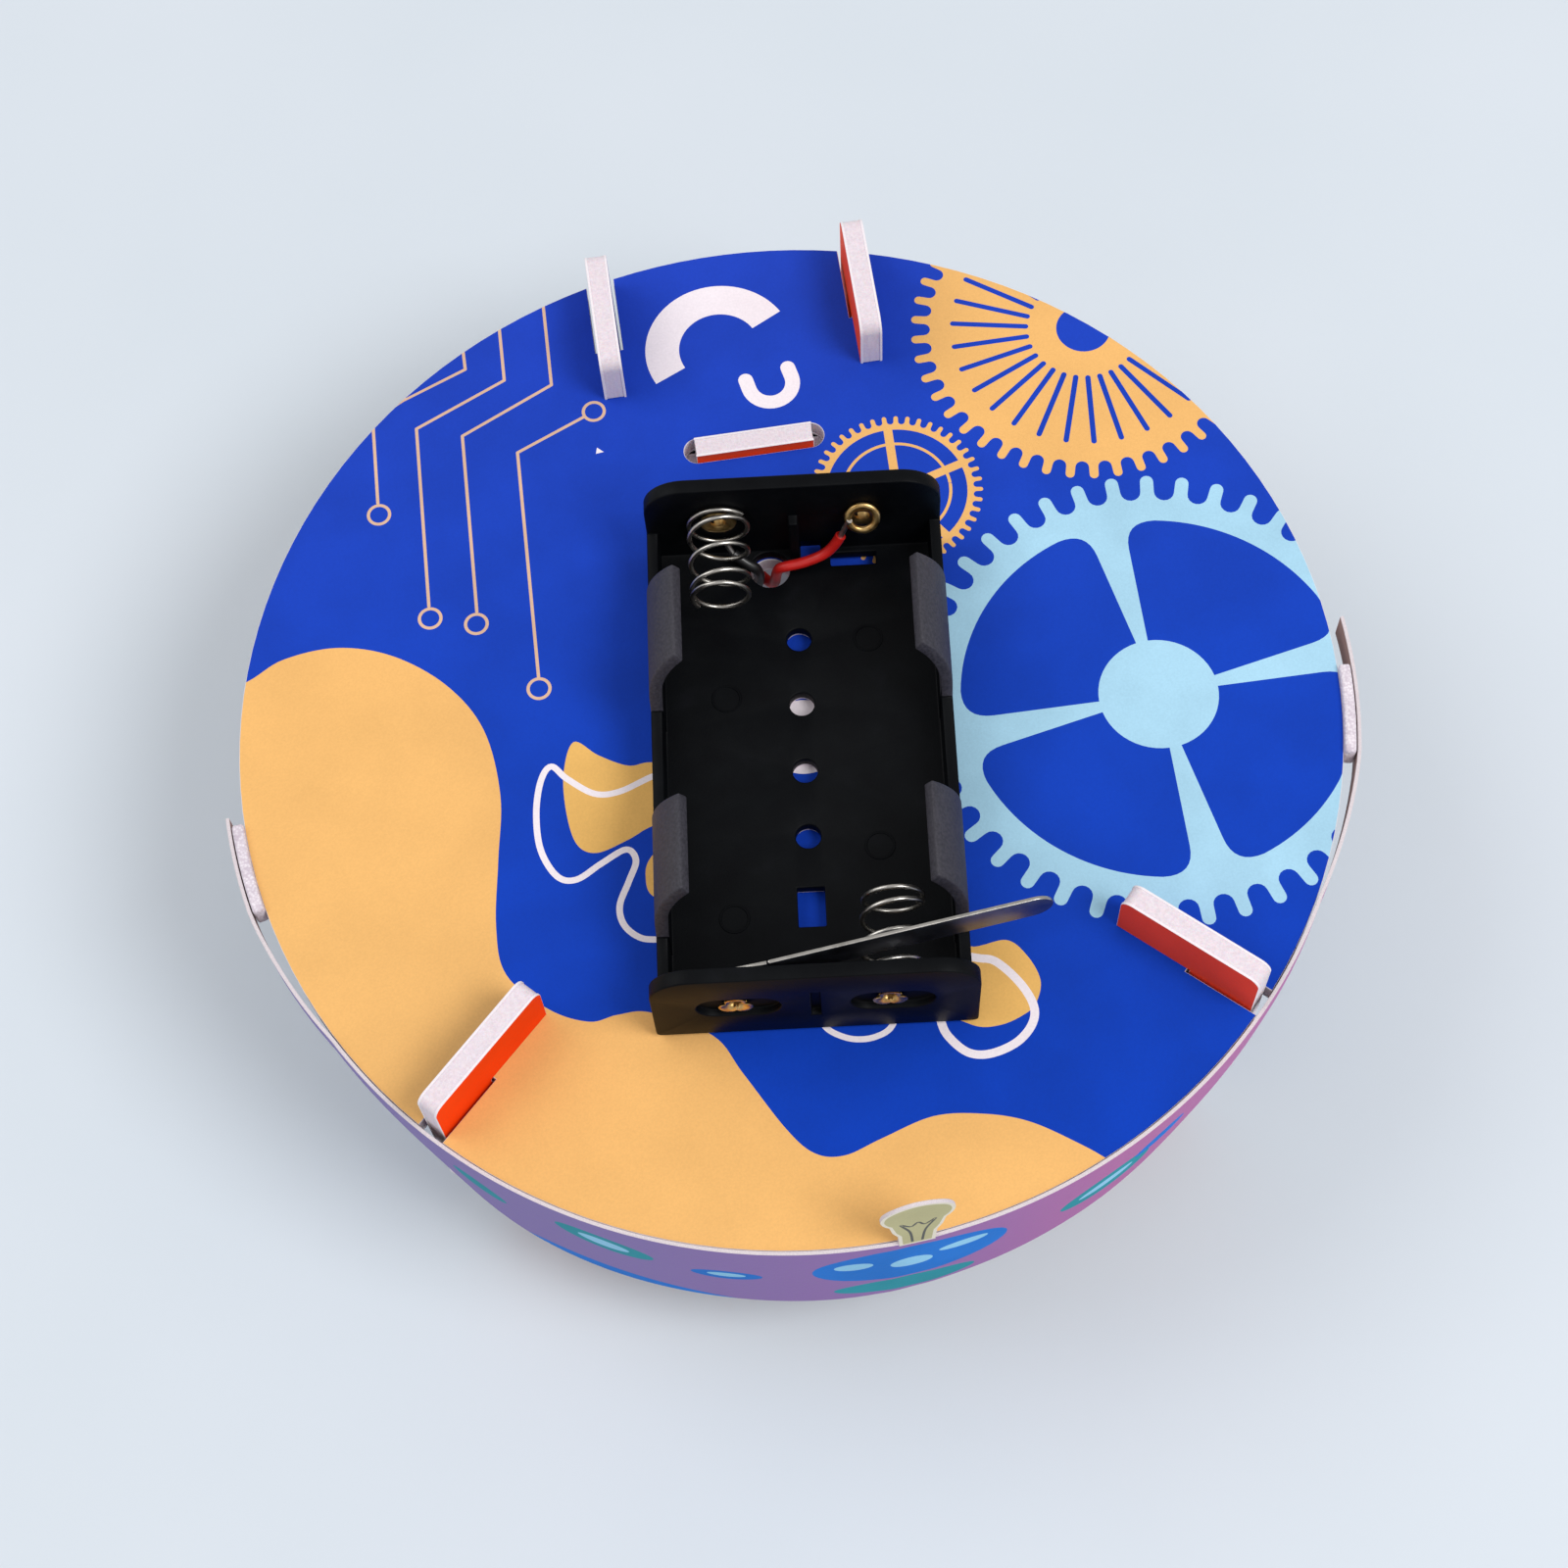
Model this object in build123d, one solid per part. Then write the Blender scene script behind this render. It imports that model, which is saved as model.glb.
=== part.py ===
from build123d import *
import math
import os

# A small two wheel robot car of foam board: a round deck carries a two cell battery box, a printed
# band wraps the front half, and a geared motor under the rear turns one axle with a wheel at each end.
# Millimetres. +Z up, the front faces -Y, and the origin is on the floor under the deck's centre.

# Deck and foam board
deck_radius = 59.75
board = 2.5                    # foam board thickness
slot_width = 3.2
deck_under = 31.5              # height of the deck's underside
deck_top = deck_under + board
slack = 0.02                   # sliding room in a slotted joint of two boards
leg_tab_corner = 1.3
plate_tab_corner = 1.8

# Front legs, which stand on radii and slide in from the deck's edge
leg_angles = (-46.0, 47.0)     # from straight ahead, positive towards +X
leg_hook_inner = 42.6
leg_step = 51.5
leg_outer = 59.0
leg_top = deck_top + 7.0
leg_foot = (42.0, 52.0)

# Rear drive unit: two plates and a cross board
drive_x = 1.0                  # the drive unit sits slightly right of the centre line
plate_half_gap = 14.8          # from the unit's middle to the middle of each plate
plate_hook_front = 42.3
plate_step = 49.0
plate_rear = 57.8
plate_front = 26.0
plate_bottom = 8.0
plate_top = deck_top + 7.2
cross_y = 33.9
cross_slot_length = 16.0
cross_tab_length = 13.4
cross_tab_top = deck_top + 0.9
cross_side_tab = (20.0, 28.0)  # heights of the tabs that lock into the plates
lead_notch = (-7.2, 28.2)      # the notch in the cross board's upper left corner: its right edge and floor

# Running gear
wheel_radius = 15.0
rim_radius = 12.4
wheel_width = 6.0
wheel_inner = 21.5             # from the unit's middle to each wheel's inner face
axle_radius = 1.0
axle_y = 36.5
axle_z = wheel_radius
axle_overhang = 0.8
running_gap = 0.05
bush_radius = 2.0
bush_flange_radius = 3.0
bush_flange = 0.75

# Spur gears
module = 0.5
wheel_teeth = 44
pinion_teeth = 8
pressure_angle = math.radians(20)
backlash = 0.10
gear_face = (18.1, 20.9)
pinion_face = (17.9, 21.1)

# Motor, a small can motor with two flats
motor_y = axle_y + 11.0
centre_distance = module * (wheel_teeth + pinion_teeth) / 2
motor_z = axle_z + math.sqrt(centre_distance**2 - (motor_y - axle_y)**2)
motor_radius = 10.05
motor_half_height = 7.55
can_length = 20.0
can_wall = 0.8
cap_length = 5.0
boss_radius = 3.1
boss_length = 1.7
shaft_radius = 1.0

# Battery box for two AA cells, glued on a little askew
box_centre = (0.7, -8.15)
box_turn = -5.9
box_width = 32.0
box_length = 57.0
box_height = 15.0
tape = 0.5
floor = 1.4
side_wall = 1.2
end_wall = 1.6
front_flange = 0.6             # how far the front end wall stands out past each side wall
rib_lengths = (2.6, 1.2)       # the rib in the middle of the front and of the rear end wall
side_height = 6.5
cell_x = 7.8                   # each cell's axis from the middle of the box
cell_z = 8.4
lip_radius = 6.9
contact_heights = (7.4, 8.6)   # of the front and of the rear contacts
lips = ((5.4, 8.2, 18.5), (-20.2, -17.9, -7.8))   # foot, front and rear end along the box
floor_holes = (15.7, 7.9, 0.0, -7.6)

# Contacts and switch leaf
spring_length = 9.8
spring_outer = 3.2
spring_inner = 2.7
leaf_thickness = 0.4
leaf_low = 10.9
leaf_high = 15.2
leaf_pivot = (-4.3, -26.6)
leaf_turn = 11.2
leaf_length = 29.0

# Printed band and its pads
band_thickness = 0.4
band_inner = deck_radius + 0.1
band_ends = (-87.0, 91.5)
pad_angles = (76.0, 86.0)
pad_thickness = 1.3
band_top = deck_top + 0.3
band_drops = (                 # the lower edge, from left to right: place and depth under the deck's top
    (-65.0, 3.6), (-47.5, 3.9), (-42.5, 7.5), (-37.5, 14.2), (-30.0, 17.4), (-16.0, 18.4), (-4.0, 18.8),
    (8.0, 17.3), (20.0, 14.8), (28.5, 11.4), (35.5, 6.6), (43.0, 3.7), (65.0, 3.6))
bulb_angle = 4.1
bulb_radius = 3.75
bulb_centre_z = deck_top + 9.5
bulb_neck = 3.7

# Leads
wire_radius = 0.6
lead_exit = (-2.8, 24.5)       # in the box's frame, the hole where both leads go down through the deck
terminal_offset = 4.2          # each motor terminal, either side of the motor's middle


def polar(angle, radius):
    """A point at an angle from straight ahead, positive towards +X."""
    turn = math.radians(angle)
    return (radius * math.sin(turn), -radius * math.cos(turn))


def outline(points):
    """A flat face from corners of (x, y, fillet radius)."""
    face = make_face(Polyline(*[(x, y) for x, y, _ in points], close=True))
    for x, y, radius in points:
        if radius:
            corner = face.vertices().sort_by_distance((x, y, 0))[0]
            face = fillet(corner, radius)
    return face


def along_x(radius, start, end, y, z):
    """A cylinder along X from start to end."""
    return Pos((start + end) / 2, y, z) * Rot(0, 90, 0) * Cylinder(radius, end - start)


def block(low, high):
    """A box between two corners."""
    size = [b - a for a, b in zip(low, high)]
    middle = [(a + b) / 2 for a, b in zip(low, high)]
    return Pos(*middle) * Box(*size)


def in_box(shape):
    """Places a shape that is drawn in the battery box's own frame, floor at zero."""
    return Pos(box_centre[0], box_centre[1], deck_top + tape) * Rot(0, 0, box_turn) * shape


# --- Foam board parts ---

def deck():
    disc = Pos(0, 0, deck_under + board / 2) * Cylinder(deck_radius, board)
    for angle in leg_angles:
        slot = block((leg_step - 0.3, -slot_width / 2, deck_under - 1),
                     (deck_radius + 5, slot_width / 2, deck_top + 1))
        disc -= Rot(0, 0, angle - 90) * slot
    for side in (-1, 1):
        x = drive_x + side * plate_half_gap
        disc -= block((x - slot_width / 2, plate_step - 0.3, deck_under - 1),
                      (x + slot_width / 2, deck_radius + 5, deck_top + 1))
    slot = SlotOverall(cross_slot_length, slot_width)
    disc -= Pos(drive_x, cross_y, deck_under - 1) * extrude(slot, board + 2)
    hole = in_box(Pos(lead_exit[0], lead_exit[1], 0) * Cylinder(2.3, 20))
    return disc - hole


def front_leg(angle):
    low, high = leg_foot
    profile = outline([
        (leg_hook_inner, deck_top + slack, 0), (leg_hook_inner, leg_top, leg_tab_corner),
        (leg_outer, leg_top, leg_tab_corner), (leg_outer, 15.0, 6.0), (high, 0, 3.0), (low, 0, 3.0),
        (37.0, 20.0, 8.0), (37.0, deck_under - slack, 2.0), (leg_step, deck_under - slack, 0),
        (leg_step, deck_top + slack, 0)])
    leg = extrude(Plane.XZ * profile, board / 2, both=True)
    return Rot(0, 0, angle - 90) * leg


def rear_plate(side):
    profile = outline([
        (plate_front, deck_under - slack, 2.0), (plate_step, deck_under - slack, 0),
        (plate_step, deck_top + slack, 0), (plate_hook_front, deck_top + slack, 0),
        (plate_hook_front, plate_top, plate_tab_corner), (plate_rear, plate_top, plate_tab_corner),
        (plate_rear, 14.0, 5.0), (49.0, plate_bottom, 4.0), (31.0, plate_bottom, 4.0),
        (plate_front, 13.0, 4.0)])
    profile -= Pos(axle_y, axle_z) * Circle(bush_radius)
    profile -= Pos(motor_y, motor_z) * Circle(boss_radius + 0.1)
    low, high = cross_side_tab
    profile -= Pos(cross_y, (low + high) / 2) * Rectangle(board + 0.2, high - low + 0.2)
    plate = extrude(Plane.YZ * profile, board / 2, both=True)
    return Pos(drive_x + side * plate_half_gap, 0, 0) * plate


def cross_board():
    inner = plate_half_gap - board / 2 - 0.1
    outer = plate_half_gap + board / 2
    low, high = cross_side_tab
    body = block((-inner, cross_y - board / 2, 10.0), (inner, cross_y + board / 2, deck_under - slack))
    tab = block((-cross_tab_length / 2, cross_y - board / 2, deck_under - 1),
                (cross_tab_length / 2, cross_y + board / 2, cross_tab_top))
    locks = block((-outer, cross_y - board / 2, low), (outer, cross_y + board / 2, high))
    shape = Pos(drive_x, 0, 0) * (body + tab + locks)
    x, z = lead_notch
    return shape - block((x - 10, cross_y - board, z), (x, cross_y + board, deck_under + 1))


# --- Printed band round the front half ---

def band_radius(angle):
    """Inner radius of the band: tight on the deck ahead, held off it by the pads at the sides."""
    reach = min(max((abs(angle) - 60.0) / (pad_angles[0] - 60.0), 0.0), 1.0)
    return band_inner + (pad_thickness + 0.05) * reach


def band_curve(offset):
    stops = (band_ends[0], -pad_angles[0], -60.0, 60.0, pad_angles[0], band_ends[1])
    arcs = []
    for start, end in zip(stops, stops[1:]):
        angles = (start, (start + end) / 2, end)
        arcs.append(ThreePointArc(*[polar(a, band_radius(a) + offset) for a in angles]))
    return arcs


def printed_band():
    inner = band_curve(0)
    outer = band_curve(band_thickness)
    ends = [Line(inner[0] @ 0, outer[0] @ 0), Line(inner[-1] @ 1, outer[-1] @ 1)]
    ring = extrude(make_face(inner + outer + ends), 60)
    edge = [(x, deck_top - drop) for x, drop in band_drops]
    lower = Spline(*edge, tangents=((1, 0), (1, 0)))
    sides = Polyline(edge[-1], (edge[-1][0], band_top), (edge[0][0], band_top), edge[0])
    elevation = extrude(Plane.XZ * make_face([lower, sides]), deck_radius + 5, both=True)
    return (ring & elevation) + bulb_tab()


def bulb_tab():
    """The bulb shaped tab that stands up from the band."""
    glass = Pos(0, bulb_centre_z) * Circle(bulb_radius)
    low = deck_top - 1.0
    neck = outline([(-bulb_neck / 2, low, 0), (bulb_neck / 2, low, 0),
                    (bulb_neck / 2, deck_top + 4.5, 0), (bulb_radius * 0.8, bulb_centre_z - 1.8, 0),
                    (-bulb_radius * 0.8, bulb_centre_z - 1.8, 0), (-bulb_neck / 2, deck_top + 4.5, 0)])
    tab = extrude(Plane.XZ * (glass + neck), band_thickness / 2, both=True)
    return Rot(0, 0, bulb_angle) * Pos(0, -band_inner - band_thickness / 2, 0) * tab


def band_pad(side):
    start, end = (side * angle for angle in pad_angles)
    inner = deck_radius + 0.02
    outer = deck_radius + pad_thickness
    middle = (start + end) / 2
    edges = [ThreePointArc(polar(start, inner), polar(middle, inner), polar(end, inner)),
             Line(polar(end, inner), polar(end, outer)),
             ThreePointArc(polar(end, outer), polar(middle, outer), polar(start, outer)),
             Line(polar(start, outer), polar(start, inner))]
    pad = extrude(make_face(edges), deck_top + 0.7 - deck_under)
    return Pos(0, 0, deck_under) * pad


# --- Battery box, in its own frame ---

def lip_shell(side):
    """The part of a side wall that curls over a cell, as a profile across the box."""
    middle = side * cell_x
    outer = box_width / 2 - cell_x
    top = math.radians(52)
    inner_top = (middle + side * lip_radius * math.cos(top), cell_z + lip_radius * math.sin(top))
    outer_top = (middle + side * outer * math.cos(top), cell_z + outer * math.sin(top))
    half = top / 2
    inner_mid = (middle + side * lip_radius * math.cos(half), cell_z + lip_radius * math.sin(half))
    outer_mid = (middle + side * outer * math.cos(half), cell_z + outer * math.sin(half))
    foot_in = middle + side * lip_radius
    foot_out = middle + side * outer
    return make_face([
        Polyline((foot_in, cell_z), (foot_in, floor), (foot_out, floor), (foot_out, cell_z)),
        ThreePointArc((foot_out, cell_z), outer_mid, outer_top), Line(outer_top, inner_top),
        ThreePointArc(inner_top, inner_mid, (foot_in, cell_z))])


def side_lip(side, foot, front, rear):
    shell = Pos(0, rear, 0) * extrude(Plane.XZ * lip_shell(side), rear - foot)
    slope = make_face(Polyline((foot - 1, side_height), (foot, side_height), (front, box_height + 1),
                               (foot - 1, box_height + 1), close=True))
    return shell - extrude(Plane.YZ * slope, box_width, both=True)


def at_end(side, values):
    """The value for the front end of the box, side -1, or for its rear end, side 1."""
    return values[0] if side < 0 else values[1]


def end_panel(side):
    half = box_width / 2 + at_end(side, (front_flange, 0.0))
    contact_z = at_end(side, contact_heights)
    rib_length = at_end(side, rib_lengths)
    profile = outline([(-half, 0, 0.6), (half, 0, 0.6), (half, box_height, 4.5), (-half, box_height, 4.5)])
    y = side * (box_length / 2 - end_wall / 2)
    panel = Pos(0, y, 0) * extrude(Plane.XZ * profile, end_wall / 2, both=True)
    rib_inner = side * (box_length / 2 - end_wall)
    rib = block((-0.5, min(rib_inner, rib_inner - side * rib_length), 0.5),
                (0.5, max(rib_inner, rib_inner - side * rib_length), 9.0))
    panel += rib
    for x in (-cell_x, cell_x):
        recess = extrude(Plane.XZ * SlotOverall(8.6, 4.6), 0.8, both=True)
        panel -= Pos(x, side * box_length / 2, contact_z) * recess
        panel -= Pos(x, y, contact_z) * Rot(90, 0, 0) * Cylinder(1.0, 5)
    return panel - Pos(0, side * box_length / 2, contact_z) * Box(1.0, 1.6, 6.5)


def battery_box():
    half_w = box_width / 2
    half_l = box_length / 2
    shape = block((-half_w, -half_l + 0.5, 0), (half_w, half_l - 0.5, floor))
    for side in (-1, 1):
        shape += end_panel(side)
        wall = block((half_w - side_wall, -half_l + 0.5, 0), (half_w, half_l - 0.5, side_height))
        shape += wall if side > 0 else mirror(wall, Plane.YZ)
        for foot, front, rear in lips:
            shape += side_lip(side, foot, front, rear)
    for y in floor_holes:
        shape -= Pos(0, y, 0) * Cylinder(1.35, 10)
    shape -= Pos(0, -15.6, 0) * Box(2.9, 4.4, 10)
    shape -= Pos(1.75, 26.7, 0) * Box(2.2, 2.4, 6)
    shape -= Pos(6.4, 25.4, 0) * Box(5.0, 1.6, 6)
    shape -= Pos(lead_exit[0], lead_exit[1], 0) * Cylinder(2.2, 10)
    return in_box(shape)


def box_tape():
    strip = block((-11.0, -26.0, -tape), (11.0, 18.0, 0))
    for y in floor_holes:
        strip -= Pos(0, y, 0) * Cylinder(1.5, 10)
    strip -= Pos(0, -15.6, 0) * Box(3.2, 4.7, 10)
    return in_box(strip)


def contact_spring(x, side):
    """The outer shape of a coil spring that pushes on a cell's flat end."""
    seat = leaf_thickness if side < 0 else 0
    y = side * (box_length / 2 - end_wall - seat - spring_length / 2)
    sleeve = Cylinder(spring_outer, spring_length) - Cylinder(spring_inner, spring_length)
    return in_box(Pos(x, y, at_end(side, contact_heights)) * Rot(90, 0, 0) * sleeve)


def contact_rivet(x, side, packing):
    """A tubular rivet through an end wall, with a flared outer end and packing under its head."""
    inner_face = box_length / 2 - end_wall
    head = Pos(0, 0, -0.2 - packing) * Cylinder(2.1, 0.4)
    barrel = Pos(0, 0, (0.9 - packing) / 2) * Cylinder(1.0, 0.9 + packing)
    flare = Pos(0, 0, 0.8 + 0.3) * Cone(1.0, 1.8, 0.6)
    rivet = head + barrel + flare - Cylinder(0.6, 10)
    turn = Rot(-90, 0, 0) if side > 0 else Rot(90, 0, 0)
    return in_box(Pos(x, side * inner_face, at_end(side, contact_heights)) * turn * rivet)


def battery_contacts():
    rivets = []
    for side in (-1, 1):
        for x in (-cell_x, cell_x):
            rivets.append(contact_rivet(x, side, leaf_thickness if side < 0 else 0))
    return Compound(rivets)


# --- Switch: a springy leaf that closes onto a contact plate ---

def contact_plate(x_low, x_high, z_low, z_high, x_hole):
    y = -box_length / 2 + end_wall
    plate = block((x_low, y, z_low), (x_high, y + leaf_thickness, z_high))
    return plate - Pos(x_hole, y, contact_heights[0]) * Rot(90, 0, 0) * Cylinder(1.0, 5)


def switch_leaf_foot():
    return in_box(contact_plate(-cell_x - 2.6, leaf_pivot[0] - 0.3, 4.6, leaf_high, -cell_x))


def switch_contact():
    return in_box(contact_plate(cell_x - 2.4, cell_x + 2.4, 4.6, 13.6, cell_x))


def switch_leaf():
    height = leaf_high - leaf_low
    tip = height / 2 - 0.05
    blade = outline([(0, leaf_low, 0), (leaf_length, leaf_low, tip), (leaf_length, leaf_high, tip),
                     (0, leaf_high, 0)])
    arm = extrude(Plane.XZ * blade, leaf_thickness / 2, both=True)
    arm += Pos(0, 0, (leaf_low + leaf_high) / 2) * Cylinder(leaf_thickness / 2, height)
    return in_box(Pos(leaf_pivot[0], leaf_pivot[1], 0) * Rot(0, 0, leaf_turn) * arm)


# --- Gears ---

def involute_gear(teeth, tip_radius, root_radius, turn):
    """A spur gear profile whose flanks are short runs along the involute."""
    pitch_radius = module * teeth / 2
    base_radius = pitch_radius * math.cos(pressure_angle)
    half_tooth = math.pi / (2 * teeth) - backlash / 2 / pitch_radius
    at_pitch = math.tan(pressure_angle) - pressure_angle

    def flank_angle(radius):
        if radius <= base_radius:
            return half_tooth + at_pitch
        spread = math.sqrt((radius / base_radius)**2 - 1)
        return half_tooth + at_pitch - (spread - math.atan(spread))

    start = max(base_radius, root_radius)
    radii = [start + (tip_radius - start) * step / 3 for step in range(4)]
    if root_radius < base_radius:
        radii.insert(0, root_radius)
    points = []
    for tooth in range(teeth):
        middle = turn + 2 * math.pi * tooth / teeth
        for radius in radii:
            angle = middle - flank_angle(radius)
            points.append((radius * math.cos(angle), radius * math.sin(angle)))
        for radius in reversed(radii):
            angle = middle + flank_angle(radius)
            points.append((radius * math.cos(angle), radius * math.sin(angle)))
    return make_face(Polyline(*points, close=True))


def mesh_direction():
    """Angle in the YZ plane from the axle towards the motor shaft."""
    return math.atan2(motor_z - axle_z, motor_y - axle_y)


def axle_gear():
    face_start, face_end = (drive_x - 1.0 + edge for edge in gear_face)
    profile = involute_gear(wheel_teeth, 11.25, 10.35, mesh_direction() + math.pi / wheel_teeth)
    for hole in range(5):
        turn = 2 * math.pi * hole / 5
        profile -= Pos(6.4 * math.cos(turn), 6.4 * math.sin(turn)) * Circle(2.0)
    disc = Pos(face_start, axle_y, axle_z) * extrude(Plane.YZ * profile, face_end - face_start)
    hub = along_x(3.0, face_end, drive_x + wheel_inner, axle_y, axle_z)
    return disc + hub - along_x(axle_radius, 0, 40, axle_y, axle_z)


def motor_pinion():
    start, end = pinion_face
    profile = involute_gear(pinion_teeth, 2.45, 1.45, mesh_direction() + math.pi)
    gear = Pos(start, motor_y, motor_z) * extrude(Plane.YZ * profile, end - start)
    return gear - along_x(shaft_radius, 0, 40, motor_y, motor_z)


# --- Wheels and axle ---

def wheel_span(side):
    near = drive_x + side * wheel_inner
    far = near + side * wheel_width
    return min(near, far), max(near, far)


def wheel_axle():
    start = wheel_span(-1)[0] - axle_overhang
    end = wheel_span(1)[1] + axle_overhang
    return along_x(axle_radius, start, end, axle_y, axle_z)


def wheel_hub(side):
    start, end = wheel_span(side)
    middle = (start + end) / 2
    rim = along_x(rim_radius, start, end, axle_y, axle_z) - along_x(10.6, start, end, axle_y, axle_z)
    web = along_x(10.7, middle - 0.9, middle + 0.9, axle_y, axle_z)
    for hole in range(6):
        turn = math.radians(60 * hole)
        y = axle_y + 6.9 * math.cos(turn)
        z = axle_z + 6.9 * math.sin(turn)
        web -= along_x(2.4, start, end, y, z)
    hub = along_x(3.0, start, end, axle_y, axle_z)
    return rim + web + hub - along_x(axle_radius, start, end, axle_y, axle_z)


def tyre(side):
    start, end = wheel_span(side)
    profile = outline([(start, rim_radius, 0), (end, rim_radius, 0), (end, wheel_radius, 0.8),
                       (start, wheel_radius, 0.8)])
    ring = revolve(Plane.XZ * profile, Axis.X)
    return Pos(0, axle_y, axle_z) * ring


def axle_collar():
    outer_face = drive_x - plate_half_gap - board / 2
    start = wheel_span(-1)[1]
    end = outer_face - bush_flange - 0.3
    return along_x(2.4, start, end, axle_y, axle_z) - along_x(axle_radius, start, end, axle_y, axle_z)


def axle_bush(side):
    middle = drive_x + side * plate_half_gap
    inner = middle - side * board / 2
    outer = middle + side * board / 2
    rim = outer + side * bush_flange
    barrel = along_x(bush_radius, min(inner, outer), max(inner, outer), axle_y, axle_z)
    flange = along_x(bush_flange_radius, min(outer, rim), max(outer, rim), axle_y, axle_z)
    return barrel + flange - along_x(axle_radius + running_gap, middle - 5, middle + 5, axle_y, axle_z)


# --- Motor ---

can_front = drive_x + plate_half_gap - board / 2
can_rear = can_front - can_length
cap_rear = can_rear - cap_length


def motor_section(radius, half_height):
    return Circle(radius) & Rectangle(4 * radius, 2 * half_height)


def motor_prism(radius, half_height, start, end):
    return Pos(start, motor_y, motor_z) * extrude(Plane.YZ * motor_section(radius, half_height), end - start)


def motor_can():
    shell = motor_prism(motor_radius, motor_half_height, can_rear, can_front)
    shell -= motor_prism(motor_radius - can_wall, motor_half_height - can_wall,
                         can_rear - 1, can_front - can_wall)
    shell += along_x(boss_radius, can_front - 0.1, can_front + boss_length, motor_y, motor_z)
    return shell - along_x(shaft_radius + running_gap, can_rear, can_front + 5, motor_y, motor_z)


def motor_end_cap():
    cap = motor_prism(motor_radius - 0.05, motor_half_height - 0.05, cap_rear, can_rear)
    cap -= along_x(6.6, cap_rear + 1.5, can_rear + 1, motor_y, motor_z)
    return cap - along_x(shaft_radius + running_gap, cap_rear + 0.6, can_rear, motor_y, motor_z)


def motor_magnet(side):
    ring = along_x(9.15, can_rear + 2.5, can_front - 3.5, motor_y, motor_z)
    ring -= along_x(7.1, can_rear, can_front, motor_y, motor_z)
    keep = block((can_rear, motor_y + min(0, side * 12), motor_z - 5.4),
                 (can_front, motor_y + max(0, side * 12), motor_z + 5.4))
    return ring & keep


def motor_armature():
    start = can_rear + 4.5
    end = can_front - 5.5
    core = along_x(6.3, start, end, motor_y, motor_z)
    for pole in range(3):
        turn = Pos(0, motor_y, motor_z) * Rot(120 * pole, 0, 0)
        core -= turn * block((start - 1, -0.6, 3.0), (end + 1, 0.6, 9.0))
    commutator = along_x(2.2, can_rear - 1.5, start, motor_y, motor_z)
    return core + commutator - along_x(shaft_radius, cap_rear, can_front, motor_y, motor_z)


def motor_shaft():
    return along_x(shaft_radius, cap_rear + 0.8, pinion_face[1] + 0.2, motor_y, motor_z)


def motor_terminals():
    tabs = []
    for side in (-1, 1):
        y = motor_y + side * terminal_offset
        tabs.append(block((cap_rear - 1.5, y - 0.2, motor_z - 1.3), (cap_rear, y + 0.2, motor_z + 1.3)))
    return Compound(tabs)


def motor_tape():
    return block((can_rear + 3, motor_y - 5.5, motor_z + motor_half_height),
                 (can_front - 3, motor_y + 5.5, deck_under))


# --- Leads from the battery box to the motor ---

def lead(points):
    """A wire along straight runs with the largest tangent arcs that the runs allow."""
    corners = [Vector(*p) for p in points]
    radii = []
    for before, here, after in zip(corners, corners[1:], corners[2:]):
        turn = math.radians((here - before).get_angle(after - here))
        run = min((here - before).length, (after - here).length)
        radii.append(0.45 * run / math.tan(turn / 2))
    print("lead radii", [round(r, 1) for r in radii])
    path = FilletPolyline(*corners, radius=radii)
    section = Plane(origin=path @ 0, z_dir=path % 0) * Circle(wire_radius)
    return sweep(section, path)


def box_point(x, y, z):
    """A point of the battery box's frame, in the car's frame."""
    place = Pos(box_centre[0], box_centre[1], deck_top + tape) * Rot(0, 0, box_turn) * Pos(x, y, z)
    return tuple(place.position)


def lead_route(start_points, down_x, run_z):
    """From a contact, down through the deck and back under it to the cross board."""
    hole = box_point(down_x, lead_exit[1], 0)
    route = [box_point(*point) for point in start_points]
    route += [
        (hole[0], hole[1], deck_top + 2.0),
        (hole[0] - 0.3, hole[1] + 0.6, deck_under - 1.0),
        (hole[0] - 2.6, hole[1] + 4.6, run_z - 0.6),
    ]
    return route


terminal_x = cap_rear - 1.0
terminal_top = motor_z + 1.3
under_deck = deck_under - 1.25


def red_lead():
    start = ((5.4, 25.7, 6.2), (4.4, 25.2, 3.7), (1.4, 24.6, 2.5), (-0.8, 24.3, 2.4))
    y = motor_y + terminal_offset
    route = lead_route(start, lead_exit[0] + 1.0, under_deck)
    route += [(-7.0, 27.0, under_deck + 0.1), (terminal_x + 2.0, cross_y, under_deck),
              (terminal_x + 1.9, y - 10.5, under_deck + 0.1), (terminal_x, y - 4.4, under_deck),
              (terminal_x - 0.1, y - 0.4, motor_z + 5.0), (terminal_x, y, terminal_top)]
    return lead(route)


def black_lead():
    start = ((-6.4, 25.7, 3.3), (-5.2, 24.9, 2.6))
    y = motor_y - terminal_offset
    route = lead_route(start, lead_exit[0] - 0.8, under_deck)
    route += [(-9.9, 27.4, under_deck - 0.2), (terminal_x + 0.2, cross_y, under_deck),
              (terminal_x, y - 3.0, under_deck - 1.0), (terminal_x, y, motor_z + 5.0),
              (terminal_x, y + 0.1, terminal_top)]
    return lead(route)


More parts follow.
